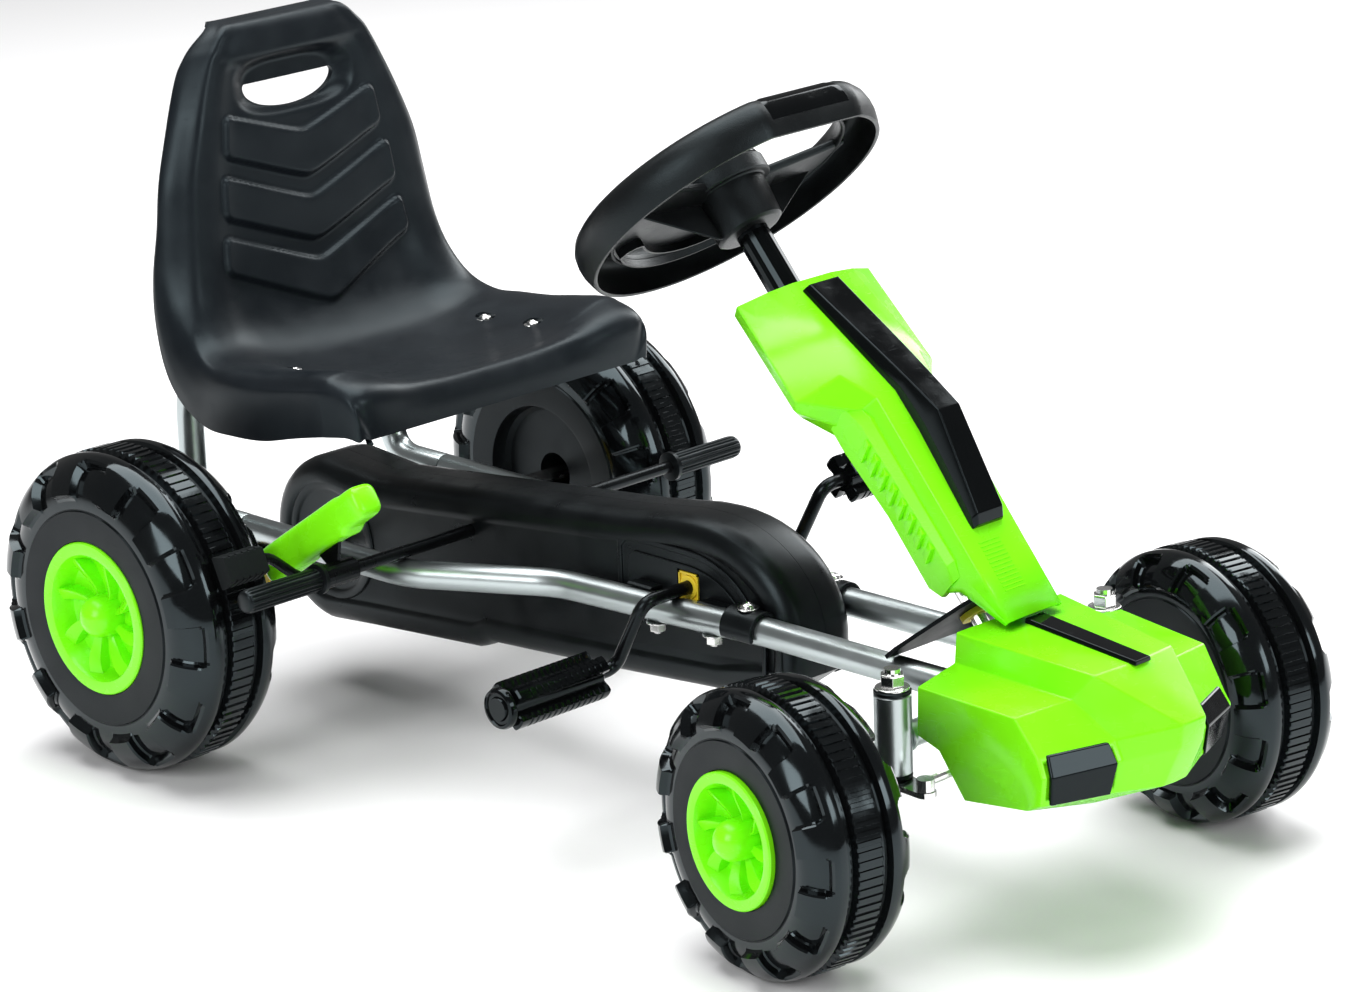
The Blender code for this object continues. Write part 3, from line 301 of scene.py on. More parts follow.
def loft(rings, closed=False, bm=None):
    """A closed skin over rings of points, with an end cap on each side unless it runs round."""
    bm = bm or bmesh.new()
    rows = [[bm.verts.new(point) for point in ring] for ring in rings]
    for low, high in zip(rows, rows[1:]):
        skin(bm, low, high)
    if closed:
        skin(bm, rows[-1], rows[0])
    else:
        bm.faces.new(rows[0])
        bm.faces.new(rows[-1])
    return bm


def round_corners(points, radius, steps=10):
    points = [Vector(point) for point in points]
    path = [points[0]]
    for before, corner, after in zip(points, points[1:], points[2:]):
        into = (before - corner).normalized()
        out = (after - corner).normalized()
        turn = math.pi - into.angle(out)
        reach = min(radius * math.tan(turn / 2.0), 0.45 * (before - corner).length,
                    0.45 * (after - corner).length)
        for step in range(steps + 1):
            share = step / steps
            start = corner + into * reach * (1.0 - share)
            end = corner + out * reach * share
            path.append(start.lerp(end, share))
    path.append(points[-1])
    return path


def sweep(path, radius, sides=28, rounded=0.0):
    """A round rod along a path, with its ends rounded off."""
    path = [Vector(point) for point in path]
    radii = [radius] * len(path)
    if rounded:
        for _ in range(2):
            along = (path[-1] - path[-2]).normalized()
            path[-1:] = [path[-1] - along * rounded * share for share in (1.0, 0.3, 0.0)]
            radii[-1:] = [radius - rounded * share for share in (0.0, 0.3, 1.0)]
            path.reverse()
            radii.reverse()
    tangent = (path[1] - path[0]).normalized()
    side = tangent.orthogonal().normalized()
    rings = []
    for index, point in enumerate(path):
        heading = (path[min(index + 1, len(path) - 1)] - path[max(index - 1, 0)]).normalized()
        side = tangent.rotation_difference(heading) @ side
        tangent = heading
        other = tangent.cross(side)
        rings.append([point + radii[index] * (math.cos(a) * side + math.sin(a) * other)
                      for a in turns(sides)])
    return loft(rings)


def turn_profile(profile, centre, axis, segments=64, bm=None):
    """Revolves a closed outline of (radius, distance along the axis) points."""
    axis = Vector(axis).normalized()
    side, other = both_ways(axis)
    bm = bm or bmesh.new()
    columns = []
    for radius, along in profile:
        middle = Vector(centre) + axis * along
        if radius < 1e-6:
            columns.append([bm.verts.new(middle)] * segments)
            continue
        columns.append([bm.verts.new(middle + radius * (math.cos(a) * side + math.sin(a) * other))
                        for a in turns(segments)])
    for low, high in zip(columns, columns[1:] + columns[:1]):
        for i in range(segments):
            j = (i + 1) % segments
            corners = list(dict.fromkeys((low[i], low[j], high[j], high[i])))
            if len(corners) > 2:
                bm.faces.new(corners)
    return bm


def prism(outline, low, high, along=0, bm=None):
    """An outline drawn out along one of the three axes."""
    def place(point, height):
        return Vector((*point[:along], height, *point[along:]))
    return loft([[place(point, height) for point in outline] for height in (low, high)], bm=bm)


def side_prism(outline, side, near, far, bm=None):
    """An outline of y and z, drawn out between two distances to one side."""
    return prism(outline, *sorted((side * near, side * far)), bm=bm)


def arc(centre, radius, start, end, steps):
    angles = [math.radians(start + (end - start) * step / steps) for step in range(steps + 1)]
    return [(centre[0] + radius * math.cos(a), centre[1] + radius * math.sin(a)) for a in angles]


def smooth_step(low, high, value):
    if low == high:
        return float(value >= low)
    share = min(1.0, max(0.0, (value - low) / (high - low)))
    return share * share * (3.0 - 2.0 * share)


def spline(table, value):
    """A smooth curve through rows of (place, numbers...), read at one place."""
    count = len(table)
    index = next((i for i in range(count - 2) if value < table[i + 1][0]), count - 2)
    p0, p1 = table[max(index - 1, 0)], table[index]
    p2, p3 = table[index + 1], table[min(index + 2, count - 1)]
    span = p2[0] - p1[0]
    share = (value - p1[0]) / span
    result = []
    for k in range(1, len(p1)):
        m1 = (p2[k] - p0[k]) / (p2[0] - p0[0]) * span if index > 0 else p2[k] - p1[k]
        m2 = (p3[k] - p1[k]) / (p3[0] - p1[0]) * span if index < count - 2 else p2[k] - p1[k]
        t2, t3 = share * share, share ** 3
        result.append((2 * t3 - 3 * t2 + 1) * p1[k] + (t3 - 2 * t2 + share) * m1
                      + (3 * t2 - 2 * t3) * p2[k] + (t3 - t2) * m2)
    return result


# ---------------- wheels
TURN_OF_LUG = 12
LUG_DEPTH = 0.006
RIBS_PER_LUG = 8
SHOULDER_STEPS = 26
BAND_HALF = 0.01
HUB_TIP = 0.0548
REAR_WHEEL_X = 0.2374


def lug_height(sector, along):
    """How far the shoulder stands out: raised but for a rounded pocket, open to the disc, in each sector."""
    raised = smooth_step(0.1, 0.15, along) * (1.0 - smooth_step(0.91, 0.95, along))
    middle = abs(sector - 0.5)
    corner = max(0.0, middle - 0.17) ** 2 / 0.02 + max(0.0, along - 0.52) ** 2 / 0.05
    pocket = (1.0 - smooth_step(0.245, 0.275, middle)) * (1.0 - smooth_step(0.62, 0.68, along))
    pocket *= 1.0 - smooth_step(0.28, 0.5, corner)
    return raised * (1.0 - pocket)


def build_tyre(name, centre, outward, radius, face, disc, rim, body, node):
    """A moulded wheel: a flat disc, tread blocks over each shoulder and a ribbed band round the middle."""
    outward = Vector(outward).normalized()
    side, other = both_ways(outward)
    centre = Vector(centre)
    base = radius - LUG_DEPTH
    fractions = (0.0, 0.22, 0.42, 0.5, 0.72, 0.92)
    ribs = TURN_OF_LUG * RIBS_PER_LUG
    angles = [(k + f) / ribs for k in range(ribs) for f in fractions]

    def place(turn, r, x):
        spin = 2.0 * math.pi * turn
        return centre + outward * x + r * (math.cos(spin) * side + math.sin(spin) * other)

    half = [("disc", 0, r, face - low, 0, 0) for r, low in
            ((rim + 0.0007, 0.005), (rim + 0.0007, 0.0003), (rim + 0.0035, 0.0), (disc - 0.003, 0.0),
             (disc - 0.0022, 0.0012), (disc - 0.0012, 0.0012))]
    for k in range(SHOULDER_STEPS + 1):
        # a rounded quarter from the disc's edge out to the middle land
        share = k / SHOULDER_STEPS
        turn = math.radians(90.0) * share ** 0.92
        out, along = math.sin(turn) / (base - disc), math.cos(turn) / (face - 0.017)
        size = math.hypot(out, along)
        half.append(("lug", share, disc + (base - disc) * math.sin(turn),
                     (face - 0.0012) - (face - 0.0167) * (1.0 - math.cos(turn)), out / size, along / size))
    half += [("land", 0, base, BAND_HALF + 0.0022, 0, 0), ("band", 0, base + 0.002, BAND_HALF + 0.0012, 0, 0),
             ("rib", 0, radius - 0.0006, BAND_HALF + 0.0002, 0, 0),
             ("rib", 0, radius, BAND_HALF - 0.0006, 0, 0)]
    bm = bmesh.new()
    rows = []
    inner = [(kind, share, r, -x, out, -along) for kind, share, r, x, out, along in reversed(half)]
    for kind, share, r, x, out, along in half + inner:
        row = []
        for turn in angles:
            rr, xx = r, x
            if kind == "lug":
                high = 0.0068 * lug_height((turn * TURN_OF_LUG + (0.0 if x > 0 else 0.5)) % 1.0, share)
                rr, xx = min(r + out * high, radius - 0.0007), x + along * high
            elif kind == "rib" and turn * ribs % 1.0 < 0.45:
                rr = r - 0.0013
            row.append(bm.verts.new(place(turn, rr, xx)))
        rows.append((kind, row))
    for (kind, low), (next_kind, high) in zip(rows, rows[1:]):
        for made in skin(bm, low, high):
            made.material_index = int(kind == next_kind == "disc")
    # the pocket behind the rim, and the recessed web on the inboard side
    pockets = [[rows[0][1]], [rows[-1][1]]]
    for pocket, steps in zip(pockets, (((rim + 0.0007, 0.0262), (0.0168, 0.0262)),
                                       ((rim - 0.002, 0.012 - face), (rim - 0.006, 0.0155 - face),
                                        (0.0178, 0.0155 - face)))):
        pocket += [[bm.verts.new(place(turn, r, x)) for turn in angles] for r, x in steps]
    outer, inner = pockets
    for low, high in [*zip(outer, outer[1:]), *zip(inner, inner[1:]), (outer[-1], inner[-1])]:
        for made in skin(bm, low, high):
            made.material_index = 1
    obj = add_piece(name, bm, "tyre", body, (node,), angle=24.0)
    obj.data.materials.append(M["disc"])


def build_rim(name, centre, outward, rim, face, body, node, phase):
    """A dished rim: a broad lip, a deep bowl with eight tilted box blades, and a ball hub cap."""
    outward = Vector(outward).normalized()
    side, other = both_ways(outward)
    top = face + 0.0015
    profile = [(0.0165, 0.0262), (rim - 0.0006, 0.0262), (rim, 0.03), (rim, top - 0.0012), (rim - 0.001, top),
               (rim * 0.9, top + 0.0003), (rim * 0.835, top - 0.0006), (rim * 0.81, top - 0.0035),
               (rim * 0.775, 0.0345), (rim * 0.735, 0.03), (rim * 0.68, 0.0285), (0.0165, 0.0285)]
    bm = turn_profile(profile, centre, outward, 96)
    ball = 0.0165 if rim > 0.055 else 0.015
    hub = [(0.0, 0.028), (ball * 1.05, 0.028), (ball * 1.03, 0.035)]
    hub += arc((0.0, HUB_TIP - ball), ball, 0.0, 81.0, 9) + [(0.0, HUB_TIP)]
    turn_profile(hub, centre, outward, 48, bm=bm)
    for blade in range(8):
        rings = []
        for share in (step / 8 for step in range(9)):
            r = ball * 0.9 + (rim * 0.8 - ball * 0.9) * share
            swirl = 2.0 * math.pi * blade / 8 + phase + 0.26 * share ** 1.3
            radial = math.cos(swirl) * side + math.sin(swirl) * other
            across = outward.cross(radial)
            thick = (0.0024 + 0.0034 * share) * rim / 0.0608
            high = 0.036 + 0.0065 * smooth_step(0.0, 0.9, share)
            low = high - 0.0016 - 0.003 * share
            places = ((-thick, 0.0275), (thick * 1.1, 0.0275), (thick, low - 0.0006), (thick * 0.86, low),
                      (-thick * 0.8, high), (-thick * 0.95, high - 0.0007))
            rings.append([Vector(centre) + radial * r + across * reach + outward * height
                          for reach, height in places])
        loft(rings, bm=bm)
    add_piece(name, bm, "green", body, (node,), angle=32.0)


def build_wheels():
    joints = {joint["name"]: joint for joint in frame["joints"]}
    for name, side in SIDES:
        low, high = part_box(f"tyre_rear_{name}")
        centre = (low + high) / 2.0
        centre.x = side * REAR_WHEEL_X
        spin = joints[f"front_wheel_spin_{name}"]
        axis = Vector(spin["axis"]) * math.copysign(1.0, spin["axis"][0] * side)
        for end, place, outward, radius, face, disc, rim, rim_face, body, phase in (
                ("rear", centre, (side, 0, 0), 0.1275, 0.0456, 0.088, 0.0608, 0.0456, "rear_axle", 0.35),
                ("front", spin["pos_m"], axis, 0.1042, 0.0416, 0.0732, 0.0493, 0.0439, f"front_wheel_{name}",
                 0.55)):
            build_tyre(f"wheel_{end}_{name}", place, outward, radius, face, disc, rim, body,
                       f"tyre_{end}_{name}")
            build_rim(f"rim_swirl_{end}_{name}", place, outward, rim, rim_face, body, f"rim_{end}_{name}",
                      phase)


# ---------------- frame tubes
TUBE_R = 0.011


def build_tubes():
    for name, side in SIDES:
        front = side * 0.045
        rear = side * 0.106
        main = [(front, -0.3328, 0.1645), (front, -0.13, 0.1635), (front, -0.02, 0.1585),
                (side * 0.049, 0.09, 0.156), (side * 0.103, 0.205, 0.153), (rear, 0.3923, 0.153)]
        add_piece(f"tube_main_{name}", sweep(round_corners(main, 0.09), TUBE_R, rounded=0.001), "tube",
                  "frame", (f"main_tube_{name}",))
        support = [(rear, 0.393, 0.153), (rear, 0.4585, 0.153), (rear, 0.4585, 0.2765),
                   (side * 0.1005, 0.25, 0.2765)]
        add_piece(f"tube_support_{name}", sweep(round_corners(support, 0.045), TUBE_R, rounded=0.001), "tube",
                  "frame", (f"seat_support_{name}",))


# ---------------- seat
# along the middle of the seat: place y, z, half width, rim height, rim depth, flare of the edge
SEAT = [
    (0.1955, 0.2712, 0.14, 0.0, 0.0, 0.0),
    (0.1975, 0.287, 0.148, 0.003, 0.0145, 0.0),
    (0.206, 0.2985, 0.155, 0.012, 0.0365, 0.0),
    (0.225, 0.295, 0.1592, 0.023, 0.0465, 0.0),
    (0.26, 0.288, 0.16, 0.026, 0.05, 0.0),
    (0.3, 0.2845, 0.161, 0.023, 0.0525, 0.0),
    (0.34, 0.285, 0.161, 0.019, 0.052, 0.0),
    (0.37, 0.2915, 0.159, 0.012, 0.051, 0.15),
    (0.393, 0.309, 0.155, 0.004, 0.046, 0.45),
    (0.408, 0.335, 0.15, 0.0, 0.036, 0.75),
    (0.416, 0.365, 0.1455, -0.002, 0.028, 1.0),
    (0.42, 0.4, 0.139, -0.003, 0.023, 1.0),
    (0.424, 0.435, 0.1325, -0.003, 0.021, 1.0),
    (0.428, 0.47, 0.12, -0.003, 0.021, 1.0),
    (0.4325, 0.5, 0.1072, -0.003, 0.021, 1.0),
    (0.435, 0.518, 0.0978, -0.003, 0.021, 1.0),
    (0.4368, 0.527, 0.0912, -0.002, 0.02, 1.0),
    (0.4383, 0.5335, 0.0845, -0.002, 0.019, 1.0),
    (0.4405, 0.5395, 0.077, -0.001, 0.017, 1.0),
    (0.4445, 0.5443, 0.069, 0.0, 0.0135, 1.0),
    (0.4505, 0.5472, 0.0625, 0.0, 0.0115, 1.0),
    (0.458, 0.5478, 0.0575, 0.0, 0.0095, 1.0),
    (0.464, 0.5466, 0.0545, 0.0, 0.0085, 1.0),
]
# across the seat: share of the half width, of the rim height and of the rim depth, on the pan and on the back
SEAT_PAN = [(0.0, 0.0, 0.0), (0.3, 0.06, 0.0), (0.55, 0.34, 0.0), (0.74, 0.82, 0.0), (0.86, 1.0, 0.0),
            (0.94, 0.93, 0.0), (0.985, 0.62, 0.0), (1.0, 1.0, 0.3), (1.0, 1.0, 0.65), (0.995, 1.0, 1.0)]
SEAT_BACK = [(0.0, 0.0, 0.0), (0.3, 0.05, 0.0), (0.55, 0.3, 0.0), (0.7, 0.8, 0.0), (0.79, 1.0, 0.0),
             (0.86, 1.0, 0.08), (0.92, 1.0, 0.26), (0.97, 1.0, 0.54), (0.995, 1.0, 0.84), (0.99, 1.0, 1.0)]
# each raised pad: upper corner x, z and middle z, then lower corner x, z and middle z
SEAT_PADS = [(0.0727, 0.481, 0.457, 0.078, 0.4446, 0.4159),
             (0.0821, 0.4346, 0.4034, 0.086, 0.3975, 0.3643),
             (0.0881, 0.3875, 0.353, 0.0921, 0.355, 0.3153)]
SEAT_WALL_THICKNESS = 0.0045
GRIP_HOLE_HALF, GRIP_HOLE_DEPTH, GRIP_HOLE_Z = 0.047, 0.0195, 0.493


def pad_height(x, z):
    """The raised chevrons on the seat's back."""
    x = math.hypot(x, 0.006) - 0.006
    for top_x, top_z, top_mid, low_x, low_z, low_mid in SEAT_PADS:
        upper = top_mid + (top_z - top_mid) * x / top_x
        lower = low_mid + (low_z - low_mid) * x / low_x
        rise = min(1.0, max(0.0, (z - low_z) / (top_z - low_z)))
        side = low_x + (top_x - low_x) * rise
        from_side, from_edge = side - x, min(upper - z, z - lower)
        corner = 0.009
        inside = corner - math.hypot(max(corner - from_side, 0.0), max(corner - from_edge, 0.0))
        if inside > 0.0:
            return 0.0044 * smooth_step(0.0, 0.0044, inside)
    return 0.0


def pocket_depth(x, z):
    """The hollow round the grip hole."""
    reach = ((abs(x) / 0.064) ** 3.0 + (abs(z - 0.4945) / 0.0255) ** 3.0) ** (1.0 / 3.0)
    return 0.009 * (1.0 - smooth_step(0.66, 1.0, reach))


def seat_section(share, half, rise, depth, flare, crown=0.0, upright=1.0):
    table = []
    last = len(SEAT_PAN) - 1
    for index, (flat, flared) in enumerate(zip(SEAT_PAN, SEAT_BACK)):
        across, up, down = (a + (b - a) * flare for a, b in zip(flat, flared))
        # the back's plain rim stands a little proud of the dished middle, and crosses over at the top
        rim = max(smooth_step(0.62, 0.72, across), crown) * (1.0 - smooth_step(0.86, 0.95, across))
        proud = 0.0044 * flare * rim * upright
        table.append((index / last, across * half, up * rise + proud, down * depth))
    return spline(table, share)


def build_seat():
    lengths = [0.0]
    for before, after in zip(SEAT, SEAT[1:]):
        lengths.append(lengths[-1] + math.hypot(after[0] - before[0], after[1] - before[1]))
    table = [(at, *row) for at, row in zip(lengths, SEAT)]
    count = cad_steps(248)
    inner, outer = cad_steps(64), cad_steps(30)
    middle = 3.2 / 9.0
    shares = [middle * k / inner for k in range(inner)]
    shares += [middle + (1.0 - middle) * k / outer for k in range(outer + 1)]
    shares = [-s for s in reversed(shares[1:])] + shares
    stations = [spline(table, lengths[-1] * k / count) for k in range(count + 1)]
    bm = bmesh.new()
    rows = []
    for index, (y, z, half, rise, depth, flare) in enumerate(stations):
        before, after = stations[max(index - 1, 0)], stations[min(index + 1, count)]
        slope = Vector((0.0, after[0] - before[0], after[1] - before[1])).normalized()
        normal = Vector((0.0, -slope.z, slope.y))
        crown, upright = smooth_step(0.512, 0.522, z), smooth_step(0.2, 0.95, -normal.y)
        skirt = Vector((0.0, 0.0, 1.0)).lerp(Vector((0.0, -0.98, 0.2)), flare).normalized()
        row = []
        for share in shares:
            x, lift, drop = seat_section(abs(share), half, rise, depth, flare, crown, upright)
            place = Vector((math.copysign(x, share), y, z)) + normal * lift - skirt * drop
            if z > 0.3 and abs(share) < 0.5:
                place += normal * (pad_height(x, place.z) - pocket_depth(x, place.z))
            row.append(bm.verts.new(place))
        rows.append(row)
    for low, high in zip(rows, rows[1:]):
        for i in range(len(shares) - 1):
            bm.faces.new((low[i], low[i + 1], high[i + 1], high[i]))
    seat = add_piece("seat_moulding", bm, "seat", "frame", ("seat_shell",), angle=50.0)
    add_wall(seat, SEAT_WALL_THICKNESS)
    if sum(face.normal.z for face in seat.data.polygons) < 0.0:
        seat.data.flip_normals()
    # flat above, rounded below
    hole = [(GRIP_HOLE_HALF * x, GRIP_HOLE_Z + GRIP_HOLE_DEPTH * z)
            for x, z in arc((0.0, 0.0), 1.0, 180.0, 360.0, 32)]
    hole += [(side * GRIP_HOLE_HALF * x, GRIP_HOLE_Z + z) for side, x, z in
             ((1, 0.985, 0.002), (1, 0.95, 0.0033), (-1, 0.95, 0.0033), (-1, 0.985, 0.002))]
    cut(seat, prism(hole, 0.36, 0.52, along=1), "cut_grip_hole")
    for name, side in SIDES:
        for place, y in (("front", 0.2715), ("rear", 0.3285)):
            x = side * 0.1003
            slot = arc((x, y + 0.006), 0.0042, 0.0, 180.0, 10) + arc((x, y - 0.006), 0.0042, 180.0, 360.0, 10)
            cut(seat, prism(slot, 0.26, 0.36, along=2), f"cut_slot_{place}_{name}")
            height = seat_height(x, y, stations)
            add_screw(f"seat_screw_{place}_{name}", (x, y, height - 0.0036), (0, 0, 1), 0.0062, "frame")
    seat.data.shade_smooth()
    seat.data.set_sharp_from_angle(angle=math.radians(46.0))


def seat_height(x, y, stations):
    pan = stations[len(stations) // 12:len(stations) * 3 // 5]
    best = min(pan, key=lambda row: abs(row[0] - y))
    last = 60
    across = [seat_section(k / last, *best[2:]) for k in range(last + 1)]
    near = min(across, key=lambda point: abs(point[0] - abs(x)))
    return best[1] + near[1]


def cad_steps(fine):
    return fine


# ---------------- fasteners
def add_screw(name, place, axis, radius, body):
    """A domed screw head with a crossed recess, on a flat washer."""
    axis = Vector(axis)
    washer = [(0.0, 0.0), (radius * 1.22, 0.0), (radius * 1.22, 0.0008), (radius * 1.16, 0.0011),
              (radius * 0.9, 0.0011), (0.0, 0.0011)]
    bm = turn_profile(washer, place, axis, 36)
    top = radius * 0.46
    head = [(0.0, 0.0012), (radius * 0.86, 0.0012)]
    head += [(radius * 0.86 * x, 0.0014 + top * y) for x, y in arc((0.0, 0.0), 1.0, 0.0, 60.0, 6)]
    head += [(radius * 0.34, 0.0014 + top * 0.92), (radius * 0.27, 0.001 + top * 0.86),
             (radius * 0.12, 0.0014 + top * 0.5), (0.0, 0.0014 + top * 0.46)]
    turn_profile(head, place, axis, 36, bm=bm)
    side, other = both_ways(axis)
    for first, second in ((side, other), (other, side)):
        corners = [first * a + second * b
                   for a, b in ((-0.3, -0.05), (0.3, -0.05), (0.3, 0.05), (-0.3, 0.05))]
        loft([[Vector(place) + c * radius + axis * h for c in corners]
              for h in (0.0014, 0.0014 + top * 0.72)], bm=bm)
    add_piece(name, bm, "zinc", body, angle=40.0)


def add_hex_nut(name, place, axis, radius, height, body, washer=0.0012, replaces=()):
    """A six-sided nut with chamfered corners on a washer, with the rod's end standing out of it."""
    axis = Vector(axis)
    bm = turn_profile([(0.0, 0.0), (radius * 1.35, 0.0), (radius * 1.35, washer * 0.7),
                       (radius * 1.28, washer), (0.0, washer)], place, axis, 40)
    side, other = both_ways(axis)
    loft([[Vector(place) + axis * (washer + height * share)
           + radius * scale * (math.cos(a) * side + math.sin(a) * other) for a in turns(6)]
          for share, scale in ((0.0, 0.93), (0.14, 1.0), (0.86, 1.0), (1.0, 0.92))], bm=bm)
    turn_profile([(radius * r, washer + height * h) for r, h in
                  ((0.0, 0.9), (0.52, 0.9), (0.52, 1.22), (0.42, 1.3), (0.0, 1.3))], place, axis, 24, bm=bm)
    return add_piece(name, bm, "zinc", body, replaces, angle=25.0, bevel=0.0003)


# ---------------- nose
COVER_WALL = 0.0028


def nose_strips():
    """Lines over one half of the nose, from its rear edge forward and down, from the middle outward."""
    return [
        [(0.0, -0.33, 0.2125), (0.0, -0.444, 0.2012), (0.0, -0.496, 0.17), (0.0, -0.493, 0.152),
         (0.0, -0.4775, 0.12), (0.0, -0.44, 0.1075)],
        [(0.0558, -0.3252, 0.2102), (0.0414, -0.4395, 0.2004), (0.012, -0.4945, 0.169),
         (0.012, -0.4915, 0.1515), (0.012, -0.4765, 0.12), (0.012, -0.44, 0.1075)],
        [(0.06, -0.327, 0.189), (0.05, -0.425, 0.182), (0.044, -0.46, 0.159),
         (0.044, -0.4668, 0.145), (0.044, -0.4625, 0.1215), (0.044, -0.44, 0.108)],
        [(0.1087, -0.3367, 0.1869), (0.1017, -0.4194, 0.1813), (0.0985, -0.4362, 0.156),
         (0.1015, -0.444, 0.142), (0.099, -0.4395, 0.1205), (0.095, -0.425, 0.113)],
    ]


def build_nose():
    bm = bmesh.new()
    lamp_faces = []
    for side in (1.0, -1.0):
        lamp_faces.append([])
        rows = [[bm.verts.new((side * x, y, z)) for x, y, z in strip] for strip in nose_strips()]
        for strip, (low, high) in enumerate(zip(rows, rows[1:])):
            for i in range(len(low) - 1):
                face = bm.faces.new((low[i], low[i + 1], high[i + 1], high[i]))
                if strip == 2 and i in (2, 3):
                    lamp_faces[-1].append(face)
        edge = [bm.verts.new((side * x, y, z)) for x, y, z in
                ((0.106, -0.3765, 0.112), (0.1075, -0.3545, 0.144), (0.108, -0.335, 0.151))]
        bm.faces.new(rows[3] + edge)
    bmesh.ops.remove_doubles(bm, verts=bm.verts, dist=1e-5)
    bmesh.ops.recalc_face_normals(bm, faces=bm.faces)
    for faces in lamp_faces:
        bmesh.ops.inset_region(bm, faces=faces, thickness=0.0042, use_even_offset=True)
        bmesh.ops.inset_region(bm, faces=faces, thickness=0.0006, depth=-0.0026, use_even_offset=True)
    nose = add_piece("nose_shell", bm, "green", "frame", ("nose_bumper",), bevel=0.002, segments=4)
    add_wall(nose, COVER_WALL)
    inner, outer = nose_strips()[2:4]
    for name, side in SIDES:
        rings = []
        for station, near, far in ((2, 0.1, 0.88), (3, 0.08, 0.9), (4, 0.12, 0.88)):
            places = [Vector(inner[station]).lerp(Vector(outer[station]), share)
                      for share in (near, far, far, near)]
            rings.append([Vector((side * place.x, place.y - proud, place.z))
                          for place, proud in zip(places, (-0.0015, -0.0015, 0.002, 0.002))])
        add_piece(f"lamp_plate_{name}", loft(rings), "gloss", "frame", (f"lamp_{name}",), bevel=0.0011,
                  segments=3)
    rings = []
    for y, z, half, proud in ((-0.348, 0.2112, 0.01, 0.0026), (-0.4485, 0.2012, 0.0085, 0.0026)):
        rings.append([Vector((half * x, y, z + rise)) for x, rise in
                      ((-1.0, -0.001), (1.0, -0.001), (0.9, proud), (-0.9, proud))])
    add_piece("ridge_strip", loft(rings), "gloss", "frame", ("nose_strip",), bevel=0.0007)


# ---------------- column cover
COLUMN_TOP = Vector((0.0, -0.063, 0.4675))
COLUMN_SLOPE = math.radians(49.0)
COLUMN_UP = Vector((0.0, math.cos(COLUMN_SLOPE), math.sin(COLUMN_SLOPE)))
COLUMN_FORE = Vector((0.0, -math.sin(COLUMN_SLOPE), math.cos(COLUMN_SLOPE)))
COVER_TOP = Vector((0.0, -0.1359, 0.4218))
COVER_DOWN = Vector((0.0, -0.721, -0.693))
COVER_OUT = Vector((0.0, -0.693, 0.721))


def cover_point(x, down, out):
    return COVER_TOP + Vector((x, 0, 0)) + COVER_DOWN * down + COVER_OUT * out


def cover_sections():
    """Half outlines of the column cover, from the middle of its face round to its rear edge."""
    return [
        (0.0, [(0.0, 0.004), (0.02, 0.004), (0.045, 0.0), (0.069, -0.008), (0.062, -0.022), (0.048, -0.034)]),
        (0.084, [(0.0, 0.018), (0.02, 0.018), (0.042, 0.012), (0.072, -0.01), (0.064, -0.024),
                 (0.05, -0.036)]),
        (0.112, [(0, 0.0225), (0.018, 0.0225), (0.0305, 0.0195), (0.0365, 0.004), (0.038, -0.016),
                 (0.036, -0.029)]),
        (0.246, [(0, 0.0072), (0.018, 0.0072), (0.029, 0.005), (0.0318, -0.008), (0.0322, -0.028),
                 (0.03, -0.038)]),
        (0.256, [(0, 0.006), (0.018, 0.006), (0.029, 0.004), (0.031, -0.008), (0.031, -0.016),
                 (0.029, -0.022)]),
        (0.297, [(0, 0.001), (0.018, 0.001), (0.028, 0), (0.029, -0.002), (0.0293, -0.0035),
                 (0.0285, -0.005)]),
    ]


def build_column_cover():
    bm = bmesh.new()
    rows = []
    for down, half in cover_sections():
        outline = [(-x, out) for x, out in reversed(half[1:])] + half
        rows.append([bm.verts.new(cover_point(x, down, out)) for x, out in outline])
    for low, high in zip(rows, rows[1:]):
        for i in range(len(low) - 1):
            bm.faces.new((low[i], low[i + 1], high[i + 1], high[i]))
    bmesh.ops.recalc_face_normals(bm, faces=bm.faces)
    cover = add_piece("cover_shell", bm, "green", "frame", ("column_cover",), bevel=0.0024, segments=4)
    add_wall(cover, COVER_WALL)
    for name, side in SIDES:
        build_lobe(name, side)
    build_panel()
    bars = bmesh.new()
    faces = [(down, half[0][1]) for down, half in cover_sections()]
    for down in (0.237 + 0.0032 * line for line in range(13)):
        (start, first), (end, last) = next(pair for pair in zip(faces, faces[1:]) if down <= pair[1][0])
        out = first + (last - first) * (down - start) / (end - start)
        section = ((-0.0007, -0.001), (-0.0004, 0.0006), (0.0004, 0.0006), (0.0007, -0.001))
        loft([[cover_point(x, down + a, out + b) for a, b in section] for x in (-0.0175, 0.0035)], bm=bars)
    add_piece("cover_fine_lines", bars, "green", "frame", angle=30.0)


